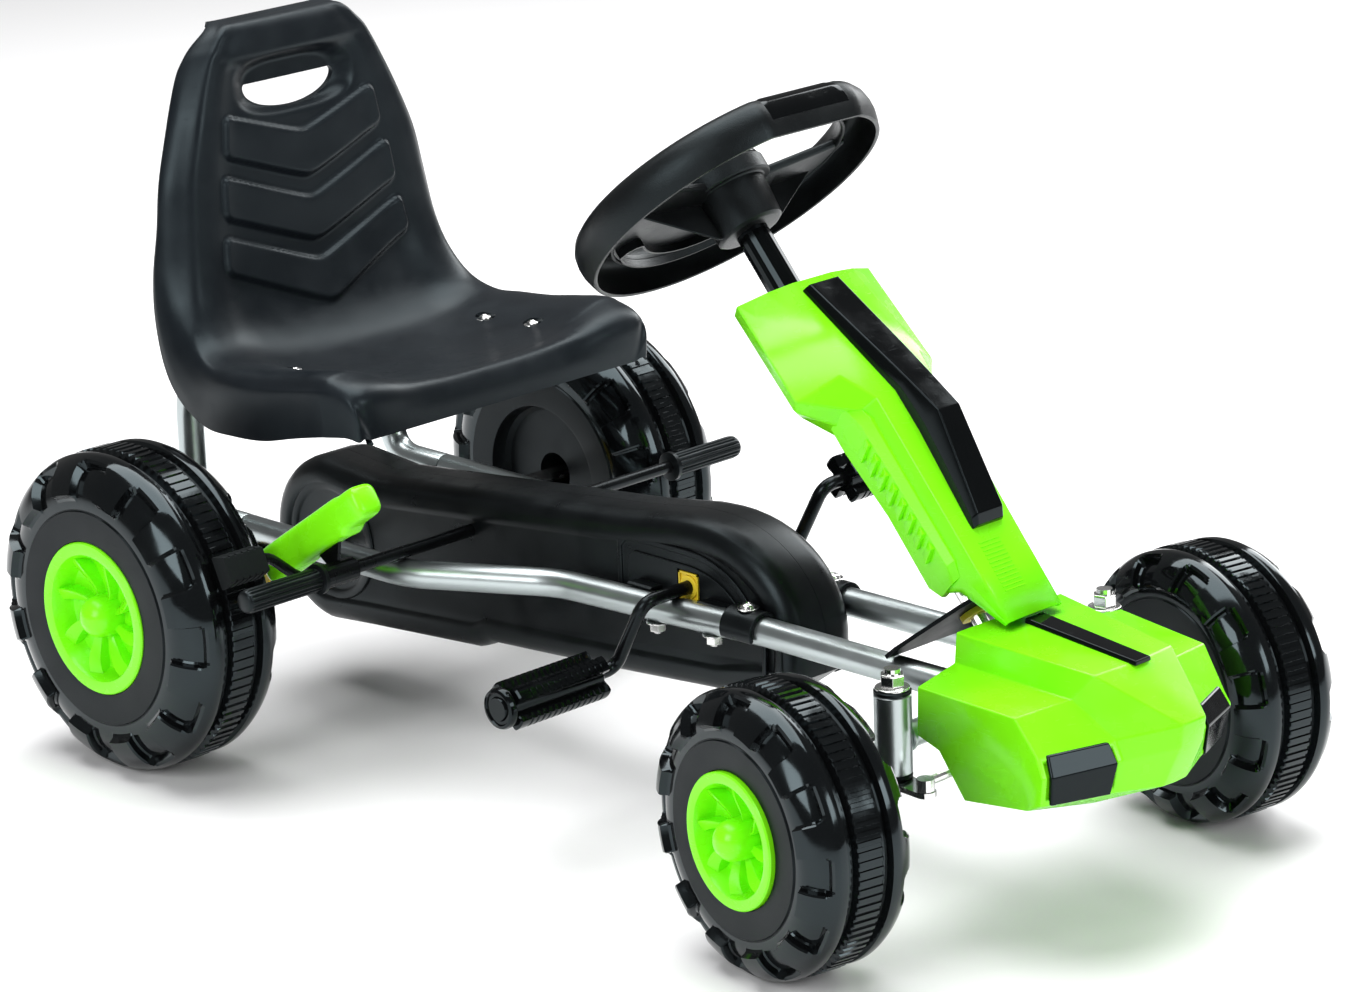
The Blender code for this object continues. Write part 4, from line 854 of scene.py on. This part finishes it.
def build_lobe(name, side):
    """The bar along each side of the cover below its knee, with stepped ribs on it and a tapered end."""
    sections = [(0.1, 0.034, 0.044, 0.004, -0.028, 0.7), (0.122, 0.033, 0.0433, 0.0085, -0.031, 1.0),
                (0.18, 0.0312, 0.04, 0.0015, -0.034, 1.0), (0.238, 0.0295, 0.0368, -0.0055, -0.0435, 1.0),
                (0.249, 0.0285, 0.034, -0.0115, -0.0405, 0.8)]
    rings = []
    for down, near, far, top, bottom, keen in sections:
        span = top - bottom
        outline = [(near - 0.004, top), (near + 0.004 * keen, top), (far, top - 0.006),
                   (far + 0.0002, top - 0.4 * span), (far - 0.0035, bottom + 0.002), (near - 0.004, bottom)]
        rings.append([cover_point(side * x, down, out) for x, out in outline])
    bm = loft(rings)
    section = ((-0.0004, -0.0088), (0.0034, -0.0006), (0.0031, 0.0), (-0.0004, 0.0002))
    for down in (0.137 + 0.0122 * rib for rib in range(8)):
        share = (down - 0.122) / 0.116
        far = 0.0433 + (0.0368 - 0.0433) * share
        top = 0.0085 - 0.014 * share - 0.0072
        wide = 0.0155 - 0.003 * share
        loft([[cover_point(side * (far + proud), down + drop + along, top - across)
               for proud, along in section] for across, drop in ((0.0, 0.0), (wide, 0.0045))], bm=bm)
    add_piece(f"cover_lobe_{name}", bm, "green", "frame", bevel=0.0009, segments=3)


def build_panel():
    """The raised gloss panel: bevelled side walls, a flat top with a knee, and a chamfered lower end."""
    stations = [(0.0086, 0.0181, 0.003, 0.0125), (0.087, 0.0155, 0.0166, 0.031),
                (0.112, 0.0145, 0.0211, 0.0365), (0.1454, 0.0134, 0.0173, 0.0432),
                (0.22, 0.0163, 0.009, 0.02), (0.2262, 0.016, 0.009, 0.014)]
    rings = []
    section = ((-1.0, 0.0), (1.0, 0.0), (0.95, 0.55), (0.82, 1.0), (-0.82, 1.0), (-0.95, 0.55))
    for down, half, base, top in stations:
        rings.append([cover_point(half * x, down, base + (top - base) * rise) for x, rise in section])
    add_piece("panel_gloss", loft(rings), "gloss", "frame", ("cover_panel",), bevel=0.0009, segments=3)


# ---------------- chain cover
CRANK = Vector((0.0, -0.0345, 0.1755))
FOOT_BAR = Vector((0.0, 0.2095, 0.1695))


def chain_outline(inset=0.0):
    """The chain cover's side outline: a tall dome round the crank and a round tail at the rear axle."""
    tail = arc((0.3835, 0.124), 0.07 - inset, -84.0, 84.0, 26)
    top = [(0.33, 0.1885 - inset), (0.29, 0.1926 - inset), (0.25, 0.1965 - inset), (0.2, 0.2017 - inset),
           (0.15, 0.2068 - inset), (0.1, 0.212 - inset), (0.04, 0.2182 - inset)]
    dome = []
    for y, z in arc((0.0, 0.0), 1.0, 82.0, 190.0, 18):
        squarer = 1.0 - 0.1 * min(0.0, y * z)
        dome.append((-0.032 + (0.112 - inset) * squarer * y, 0.1385 + (0.089 - inset) * squarer * z))
    belly = [(-0.118 + inset * 0.7, 0.106 + inset), (-0.06, 0.096 + inset), (0.06, 0.086 + inset),
             (0.196, 0.0765 + inset), (0.205, 0.0725 + inset), (0.214, 0.069 + inset), (0.34, 0.059 + inset)]
    return tail + top + dome + belly


def step_outline(grow):
    """The D-shaped step round the crank on the cover's side."""
    rear, front = 0.03 + grow, -0.094 - grow
    arch = [(-0.03 + (0.064 + grow) * y, 0.15 + (0.042 + grow) * z)
            for y, z in arc((0.0, 0.0), 1.0, 90.0, 174.0, 14)]
    low = 0.1535 - grow * 0.4
    return [(rear, low), (rear, 0.186 + grow), (rear - 0.006, 0.192 + grow)] + arch + [(front, low)]


def build_chain_cover():
    edges = [(0.00015, 0.0), (0.016, 0.0), (0.0225, 0.0011), (0.0275, 0.0038), (0.031, 0.0078),
             (0.0328, 0.0122), (0.0333, 0.017), (0.0333, 0.02), (0.0318, 0.0222), (0.0314, 0.024)]
    window = around_crank(-0.0112, -0.0106, 0.0112, 0.0122)
    drum = [(0.0, 0.03), (0.05, 0.03), (0.05, 0.0322), (0.049, 0.0332), (0.044, 0.0335), (0.0425, 0.0325),
            (0.0405, 0.032), (0.018, 0.032), (0.0175, 0.0335), (0.0, 0.0335)]
    for name, side in SIDES:
        rings = [[Vector((side * x, y, z)) for y, z in chain_outline(inset)] for x, inset in edges]
        half = add_piece(f"cover_half_{name}", loft(rings), "cover", "frame", (f"chain_cover_{name}",),
                         angle=40.0)
        ridge = add_piece(f"cover_ridge_{name}", side_prism(step_outline(0.012), side, 0.03, 0.0331), "cover",
                          "frame", angle=40.0)
        cut(ridge, side_prism(step_outline(0.0075), side, 0.0316, 0.04), "cut_ridge")
        soften(ridge, 0.0012)
        pad = add_piece(f"cover_pad_{name}", side_prism(step_outline(0.0), side, 0.03, 0.0336), "cover",
                        "frame", angle=40.0)
        cut(pad, side_prism(window, side, 0.0285, 0.04), "cut_pad_window")
        cut(half, side_prism(window, side, 0.0285, 0.04), "cut_half_window")
        soften(pad, 0.0008)
        add_piece(f"cover_drum_{name}", turn_profile(drum, (0.0, 0.378, 0.1275), (side, 0, 0), 72), "cover",
                  "frame", angle=40.0)
        build_saddle(name, side)
        build_bush(name, side)
        for fin, y in enumerate((-0.113, -0.129)):
            rings = [[Vector((side * x, y + across, z)) for x, across in
                      ((0.022, -thick), (reach, -thick), (reach, thick), (0.022, thick))]
                     for z, reach, thick in ((0.115, 0.0355, 0.0022), (0.156, 0.0338, 0.0016),
                                             (0.17, 0.027, 0.0008))]
            add_piece(f"cover_fin_{fin}_{name}", loft(rings), "cover", "frame", bevel=0.0006)


def around_crank(rear, low, front, high):
    """A rectangle of y and z, measured from the crank's axis."""
    return [(CRANK.y + y, CRANK.z + z) for y, z in ((rear, low), (front, low), (front, high), (rear, high))]


def build_saddle(name, side):
    """The strap that hooks over the main tube, with its screw."""
    centre = (0.045, 0.1628)
    outline = arc(centre, 0.0152, 148.0, -25.0, 24) + arc(centre, 0.0116, -25.0, 160.0, 24)
    outline += [(0.032, 0.1668)]
    strap = prism([(side * x, z) for x, z in outline], -0.1245, -0.0925, along=1)
    add_piece(f"saddle_{name}", strap, "cover", "frame", bevel=0.0009)
    add_screw(f"saddle_screw_{name}", (side * 0.045, -0.1085, 0.1779), (0, 0, 1), 0.0068, "frame")
    for place, y, z in (("rear", -0.013, 0.1474), ("front", -0.073, 0.1505)):
        add_hex_nut(f"tube_nut_{place}_{name}", (side * 0.0455, y, z), (0, 0, -1), 0.0068, 0.0062, "frame",
                    washer=0.0014)
    flat = ((0.0325, 0.169), (0.0325, 0.1712), (0.044, 0.1722), (0.0465, 0.1712), (0.0465, 0.1705))
    for place, y in (("rear", 0.006), ("front", -0.068)):
        tab = prism([(side * x, z) for x, z in flat], y - 0.0125, y + 0.0125, along=1)
        add_piece(f"cover_tab_{place}_{name}", tab, "cover", "frame", bevel=0.0005)


def build_bush(name, side):
    """The square plastic bush in the cover's window, with a raised rim and a collar round the crank."""
    bm = side_prism(around_crank(-0.0102, -0.0097, 0.0102, 0.0112), side, 0.03, 0.0322)
    turn_profile([(0.0054, 0.03), (0.0088, 0.03), (0.0088, 0.0335), (0.008, 0.0338), (0.0054, 0.0338)], CRANK,
                 (side, 0, 0), 32, bm=bm)
    for rim in ((-0.0102, -0.0097, -0.0088, 0.0112), (0.0088, -0.0097, 0.0102, 0.0112),
                (-0.0102, 0.0098, 0.0102, 0.0112), (-0.0102, -0.0097, 0.0102, -0.0083)):
        side_prism(around_crank(*rim), side, 0.031, 0.0336, bm=bm)
    add_piece(f"bush_plate_{name}", bm, "yellow", "frame", (f"crank_bush_{name}",), angle=30.0)


# ---------------- crank and pedals
CRANK_THROW = 0.0634
CRANK_ANGLE = math.radians(-63.0)
CRANK_ROD_R = 0.0052


def pedal_centre(side):
    turn = CRANK_ANGLE if side < 0 else CRANK_ANGLE + math.pi
    return CRANK + Vector((0.0, math.cos(turn) * CRANK_THROW, math.sin(turn) * CRANK_THROW))


def build_crank():
    right, left = pedal_centre(-1.0), pedal_centre(1.0)
    points = [(-0.1985, right.y, right.z), (-0.0845, right.y, right.z), (-0.08, CRANK.y, CRANK.z),
              (0.08, CRANK.y, CRANK.z), (0.0845, left.y, left.z), (0.1985, left.y, left.z)]
    add_piece("crank_rod", sweep(round_corners(points, 0.013, 12), CRANK_ROD_R, 28), "black_steel", "crank",
              ("crankshaft",))
    for name, side in SIDES:
        build_pedal(name, side, pedal_centre(side))


def lobed_ring(centre, x, scale=0.985, groove=0.0):
    ring = []
    for a in turns(96):
        lobe = math.cos(2.0 * (a - math.pi / 4.0))
        keen = smooth_step(0.28, 0.62, lobe * lobe)
        radius = (0.0104 + (0.0087 - groove) * keen + 0.0002 * abs(lobe)) * scale
        ring.append(Vector((x, centre.y + math.cos(a) * radius, centre.z + math.sin(a) * radius)))
    return ring


def build_pedal(name, side, centre):
    """A four-lobed block with cross grooves in its treads."""
    start, end, ribs, groove = 0.1045, 0.1955, 13, 0.0009
    pitch = (end - start - 0.014) / ribs
    stations = [(start, 0.9), (start + 0.0012,), (start + 0.007,)]
    for x in (start + 0.007 + rib * pitch for rib in range(ribs)):
        stations += [(x + 0.0004,), (x + 0.0009, 0.985, groove), (x + pitch * 0.42, 0.985, groove),
                     (x + pitch * 0.5,)]
    stations += [(end - 0.0012,), (end, 0.9)]
    rings = [lobed_ring(centre, side * x, *shape) for x, *shape in stations]
    add_piece(f"pedal_block_{name}", loft(rings), "gloss", f"pedal_{name}", (f"pedal_{name}",), angle=34.0)
    cap = [(0.0, 0.1962), (0.0128, 0.1962), (0.0158, 0.1985), (0.016, 0.201), (0.015, 0.2035),
           (0.0128, 0.2042), (0.0118, 0.2026), (0.0095, 0.2026), (0.0085, 0.2045), (0.0, 0.2045)]
    add_piece(f"pedal_end_{name}", turn_profile(cap, centre, (side, 0, 0), 64), "gloss", f"pedal_{name}",
              (f"pedal_cap_{name}",), angle=30.0)


# ---------------- foot bar and brake
FOOT_BAR_HALF = 0.262
BRAKE_X = -0.168


def build_foot_bar():
    reach = FOOT_BAR_HALF - 0.004
    line = [FOOT_BAR + Vector((x, 0, 0)) for x in (-reach, reach)]
    add_piece("foot_rod", sweep(line, 0.005, 28), "black_steel", "frame", ("foot_bar",))
    for name, side in SIDES:
        stations = [(0.186, 0.0112, 0.0), (0.1864, 0.0119, 0.0), (0.1896, 0.0119, 0.0), (0.1903, 0.0086, 0.0),
                    (0.1915, 0.0086, 0.0), (0.1925, 0.0093, 0.0012), (0.256, 0.0093, 0.0012),
                    (0.258, 0.0091, 0.0005), (0.26, 0.0087, 0.0), (0.2614, 0.0078, 0.0),
                    (0.262, 0.0066, 0.0)]
        rings = []
        for x, radius, flute in stations:
            ring = []
            for a in turns(128):
                r = radius - flute * smooth_step(0.35, 0.75, 0.5 - 0.5 * math.cos(16.0 * a))
                ring.append(FOOT_BAR + Vector((side * x, math.cos(a) * r, math.sin(a) * r)))
            rings.append(ring)
        add_piece(f"peg_{name}", loft(rings), "cover", "frame", (f"foot_peg_{name}",), angle=40.0)


def build_brake_grip():
    along = Vector((0.0, -0.828, 0.56)).normalized()
    across = Vector((0.0, 0.56, 0.828)).normalized()
    stations = [(-0.07, 0.0085, 0.01, 0.0), (-0.069, 0.011, 0.013, 0.0), (-0.065, 0.0128, 0.0146, 0.0),
                (-0.045, 0.013, 0.015, 0.0), (-0.02, 0.0129, 0.0148, 0.0), (0.01, 0.0127, 0.0145, 0.0),
                (0.028, 0.0126, 0.0144, 0.0012), (0.036, 0.0126, 0.0143, 0.0022), (0.042, 0.0125, 0.014, 0.0),
                (0.045, 0.0125, 0.0132, 0.0), (0.062, 0.0123, 0.013, 0.0), (0.0668, 0.0116, 0.0122, 0.0),
                (0.069, 0.0104, 0.0108, 0.0), (0.07, 0.008, 0.0085, 0.0)]
    rings = []
    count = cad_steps(72)
    for k in range(count + 1):
        reach = stations[0][0] + (stations[-1][0] - stations[0][0]) * k / count
        half_x, half_n, drop = spline(stations, reach)
        middle = FOOT_BAR + along * reach + across * 0.034
        ring = []
        for angle in turns(48):
            a = math.copysign(abs(math.cos(angle)) ** 0.55, math.cos(angle)) * half_x
            b = math.copysign(abs(math.sin(angle)) ** 0.55, math.sin(angle)) * half_n
            if b < 0.0:
                b -= drop
            ring.append(middle + Vector((BRAKE_X + a, 0, 0)) + across * b)
        rings.append(ring)
    add_piece("grip_moulding", loft(rings), "green", "brake", ("brake_grip",), angle=50.0)


def build_brake_pad():
    """Six blocks across the pad, with grooves between them."""
    low, high = (Vector(corner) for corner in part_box("brake_pad"))
    away = Vector((0.0, -0.909, 0.417))
    beside = Vector((0.0, 0.417, 0.909))
    middle = (low + high) / 2.0
    half = ((-0.0058, 0.0124), (-0.0048, 0.013), (0.0078, 0.0104), (0.0086, 0.0096))
    bm = bmesh.new()
    blocks = 6
    step = (high.x - low.x) / blocks
    for left in (low.x + block * step for block in range(blocks)):
        for start, end, inset in ((left, left + step * 0.74, 0.0),
                                  (left + step * 0.74 - 0.0001, left + step, 0.001)):
            corners = [(a, b - inset) for a, b in half] + [(a, inset - b) for a, b in reversed(half)]
            places = [middle + away * a + beside * b for a, b in corners]
            prism([(place.y, place.z) for place in places], start, end, bm=bm)
    add_piece("pad_block", bm, "rubber", "brake", ("brake_pad",), angle=30.0)


# ---------------- steering wheel
STEERING_RING_R = 0.1195
STEERING_RING_FLAT = 0.1105


def ring_point(angle, scale, height):
    radius = STEERING_RING_R
    if math.sin(angle) > 0.0:
        radius = min(radius, STEERING_RING_FLAT / math.sin(angle))
    radius *= scale
    return (COLUMN_TOP + Vector((1, 0, 0)) * radius * math.cos(angle)
            + COLUMN_FORE * radius * math.sin(angle) + COLUMN_UP * height)


def build_steering_wheel():
    """A U-shaped rim open underneath, two broad side spokes, a lower web with a slot, and a drum hub."""
    outer = [(0.985, -0.003), (0.999, -0.0026), (1.014, 0.003), (1.026, 0.009), (1.028, 0.015),
             (1.018, 0.022), (0.992, 0.0272), (0.957, 0.0301), (0.915, 0.0308), (0.87, 0.0293),
             (0.83, 0.0255), (0.805, 0.0195), (0.799, 0.015), (0.797, 0.0112)]
    inner = [(0.804, 0.0104), (0.818, 0.0108), (0.826, 0.014), (0.842, 0.019), (0.87, 0.0235),
             (0.915, 0.0248), (0.955, 0.024), (0.98, 0.02), (0.99, 0.014), (0.982, 0.006),
             (0.973, -0.0024)]
    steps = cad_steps(160)
    columns = [[ring_point(angle, scale, height) for scale, height in outer + inner]
               for angle in turns(steps)]
    add_piece("rim_shell", loft(columns, closed=True), "grip", "steering", ("steering_wheel",), angle=50.0)
    band = []
    for k in range(25):
        angle = math.radians(71.0 + 38.0 * k / 24)
        grow, lift = (1.0, 0.0) if k in (0, 24) else (1.009, 0.0007)
        proud = [ring_point(angle, 0.915 + (scale - 0.915) * grow, height + lift)
                 for scale, height in outer[1:9]]
        under = [ring_point(angle, 0.985, 0.004), ring_point(angle, 0.96, 0.024),
                 ring_point(angle, 0.915, 0.025)]
        band.append(proud + under[::-1])
    add_piece("rim_insert", loft(band), "gloss", "steering", angle=28.0)
    for name, side in SIDES:
        build_spoke(name, side)
    build_lower_web()
    hub = [(0.0065, -0.024), (0.0225, -0.024), (0.024, -0.0236), (0.0262, -0.022), (0.0288, 0.009),
           (0.03, 0.01), (0.0338, 0.0102), (0.035, 0.0112), (0.035, 0.0226), (0.034, 0.024),
           (0.0065, 0.0243)]
    add_piece("hub_drum", turn_profile(hub, COLUMN_TOP, COLUMN_UP, 96), "grip", "steering", angle=30.0)
    cap = [(0.0, 0.0245), (0.0322, 0.0245), (0.0332, 0.0252), (0.033, 0.0266), (0.032, 0.0285), (0.02, 0.032),
           (0.0, 0.033)]
    add_piece("hub_cap", turn_profile(cap, COLUMN_TOP, COLUMN_UP, 96), "gloss", "steering", ("steering_cap",),
              angle=30.0)


def steering_place(across, fore, height):
    return COLUMN_TOP + Vector((across, 0, 0)) + COLUMN_FORE * fore + COLUMN_UP * height


def build_spoke(name, side):
    """A broad plate from the hub to the rim, folded along its middle, with a thin gusset under it."""
    rings = []
    for share in (0.0, 0.25, 0.5, 0.75, 1.0):
        x = side * (0.022 + 0.076 * share)
        near = -0.02 - 0.02 * share
        far = 0.012 + 0.022 * share
        fold = 0.006 * (1.0 - share)
        outline = [(near, 0.012), (0.0, 0.012 - fold), (far - 0.002, 0.011), (far, 0.0125), (far, 0.016),
                   (far - 0.003, 0.018), (0.0, 0.017), (near, 0.0168)]
        rings.append([steering_place(x, fore, height) for fore, height in outline])
    bm = loft(rings)
    fin = []
    for fore in (-0.0009, 0.0009):
        fin.append([steering_place(side * x, fore - 0.004, height)
                    for x, height in ((0.0245, -0.0225), (0.03, -0.0215), (0.09, 0.0125), (0.03, 0.0125))])
    loft(fin, bm=bm)
    add_piece(f"spoke_{name}", bm, "grip", "steering", bevel=0.0007)


def web_outline(*corners):
    """Points of x and fore, from runs of radius, first angle, last angle and steps round the hub."""
    return [point for radius, start, end, steps in corners
            for point in arc((0.0, 0.0), radius, start, end, steps)]


def build_lower_web():
    """The plate below the side spokes, with a long curved slot beside the rim and a lip round the slot."""
    slot_low, slot_high, start, end = 0.0745, 0.0915, 218.0, 322.0
    outline = web_outline((0.024, 196.0, 344.0, 24), (0.097, 344.0, 196.0, 60))
    bm = loft([[steering_place(x, fore, height) for x, fore in outline] for height in (0.012, 0.017)])
    web = add_piece("lower_web", bm, "grip", "steering", angle=40.0)
    corner = 0.006
    slot = web_outline((slot_high, start + 3.0, end - 3.0, 40))
    slot += web_outline((slot_high - corner, end, end, 1))[:1]
    slot += web_outline((slot_low + corner, end, end, 1))[:1]
    slot += web_outline((slot_low, end - 3.0, start + 3.0, 40))
    slot += web_outline((slot_low + corner, start, start, 1))[:1]
    slot += web_outline((slot_high - corner, start, start, 1))[:1]
    cut(web, loft([[steering_place(x, fore, height) for x, fore in slot] for height in (-0.01, 0.04)]),
        "cut_slot")
    soften(web, 0.0009)
    lip = []
    middle_r, middle_a = (slot_low + slot_high) / 2.0, math.radians(270.0)
    for grow, height in ((0.0, 0.0122), (0.0, 0.006), (0.0016, 0.006), (0.0016, 0.0122)):
        ring = []
        for x, fore in slot:
            r, a = math.hypot(x, fore), math.atan2(fore, x) % (2.0 * math.pi)
            r += grow * (1.0 if r > middle_r else -1.0)
            if abs(a - middle_a) > 0.85:
                a += (grow / middle_r) * (1.0 if a > middle_a else -1.0)
            ring.append(steering_place(r * math.cos(a), r * math.sin(a), height))
        lip.append(ring)
    add_piece("slot_lip", loft([list(column) for column in zip(*lip)], closed=True), "grip", "steering",
              angle=40.0)


# ---------------- front corners
def build_front_corners():
    beam = sweep([Vector((-0.1015, -0.3165, 0.1435)), Vector((0.1015, -0.3165, 0.1435))], 0.0095, 36)
    for name, side in SIDES:
        pin = Vector((side * 0.113, -0.3165, 0.0))
        turn_profile([(0.0085, 0.121), (0.0128, 0.121), (0.0135, 0.1217), (0.0135, 0.1783), (0.0128, 0.179),
                      (0.0085, 0.179)], pin, (0, 0, 1), 48, bm=beam)
        bead = arc((0.1, 0.0), 0.0022, 200.0, -20.0, 10)
        turn_profile([(0.0092 + rise, side * reach) for reach, rise in bead]
                     + [(0.0085, side * 0.101), (0.0085, side * 0.099)],
                     (0.0, -0.3165, 0.1435), (1, 0, 0), 36, bm=beam)
    add_piece("front_beam_tube", beam, "tube", "frame", ("front_beam",))
    for name, side in SIDES:
        pin = Vector((side * 0.113, -0.3165, 0.0))
        for place, low in (("upper", 0.1793), ("lower", 0.1177)):
            ring = [(0.0063, low), (0.0128, low), (0.0135, low + 0.0006), (0.0135, low + 0.0024),
                    (0.0128, low + 0.003), (0.0063, low + 0.003)]
            add_piece(f"bush_ring_{place}_{name}", turn_profile(ring, pin, (0, 0, 1), 48), "cover", "frame",
                      (f"kingpin_bush_{place}_{name}",))
        add_hex_nut(f"nut_{name}", pin + Vector((0, 0, 0.1827)), (0, 0, 1), 0.0093, 0.0095, f"knuckle_{name}",
                    washer=0.0016, replaces=(f"kingpin_nut_{name}",))


def finish_cad_nodes():
    """Gives the part's own shapes their finishes."""
    wanted = {"axle_bracket": "black_steel", "brake_lever": "black_steel", "column_bracket": "bracket",
              "column_bush": "yellow", "axle_bush": "yellow", "column_sleeve": "gloss"}
    for name, obj in NODES.items():
        finish = next((wanted[start] for start in wanted if name.startswith(start)), "zinc")
        obj.data.materials.clear()
        obj.data.materials.append(M[finish])


build_camera()
build_studio()
finish_cad_nodes()
build_wheels()
build_tubes()
build_seat()
build_nose()
build_column_cover()
build_chain_cover()
build_crank()
build_foot_bar()
build_brake_grip()
build_brake_pad()
build_steering_wheel()
build_front_corners()
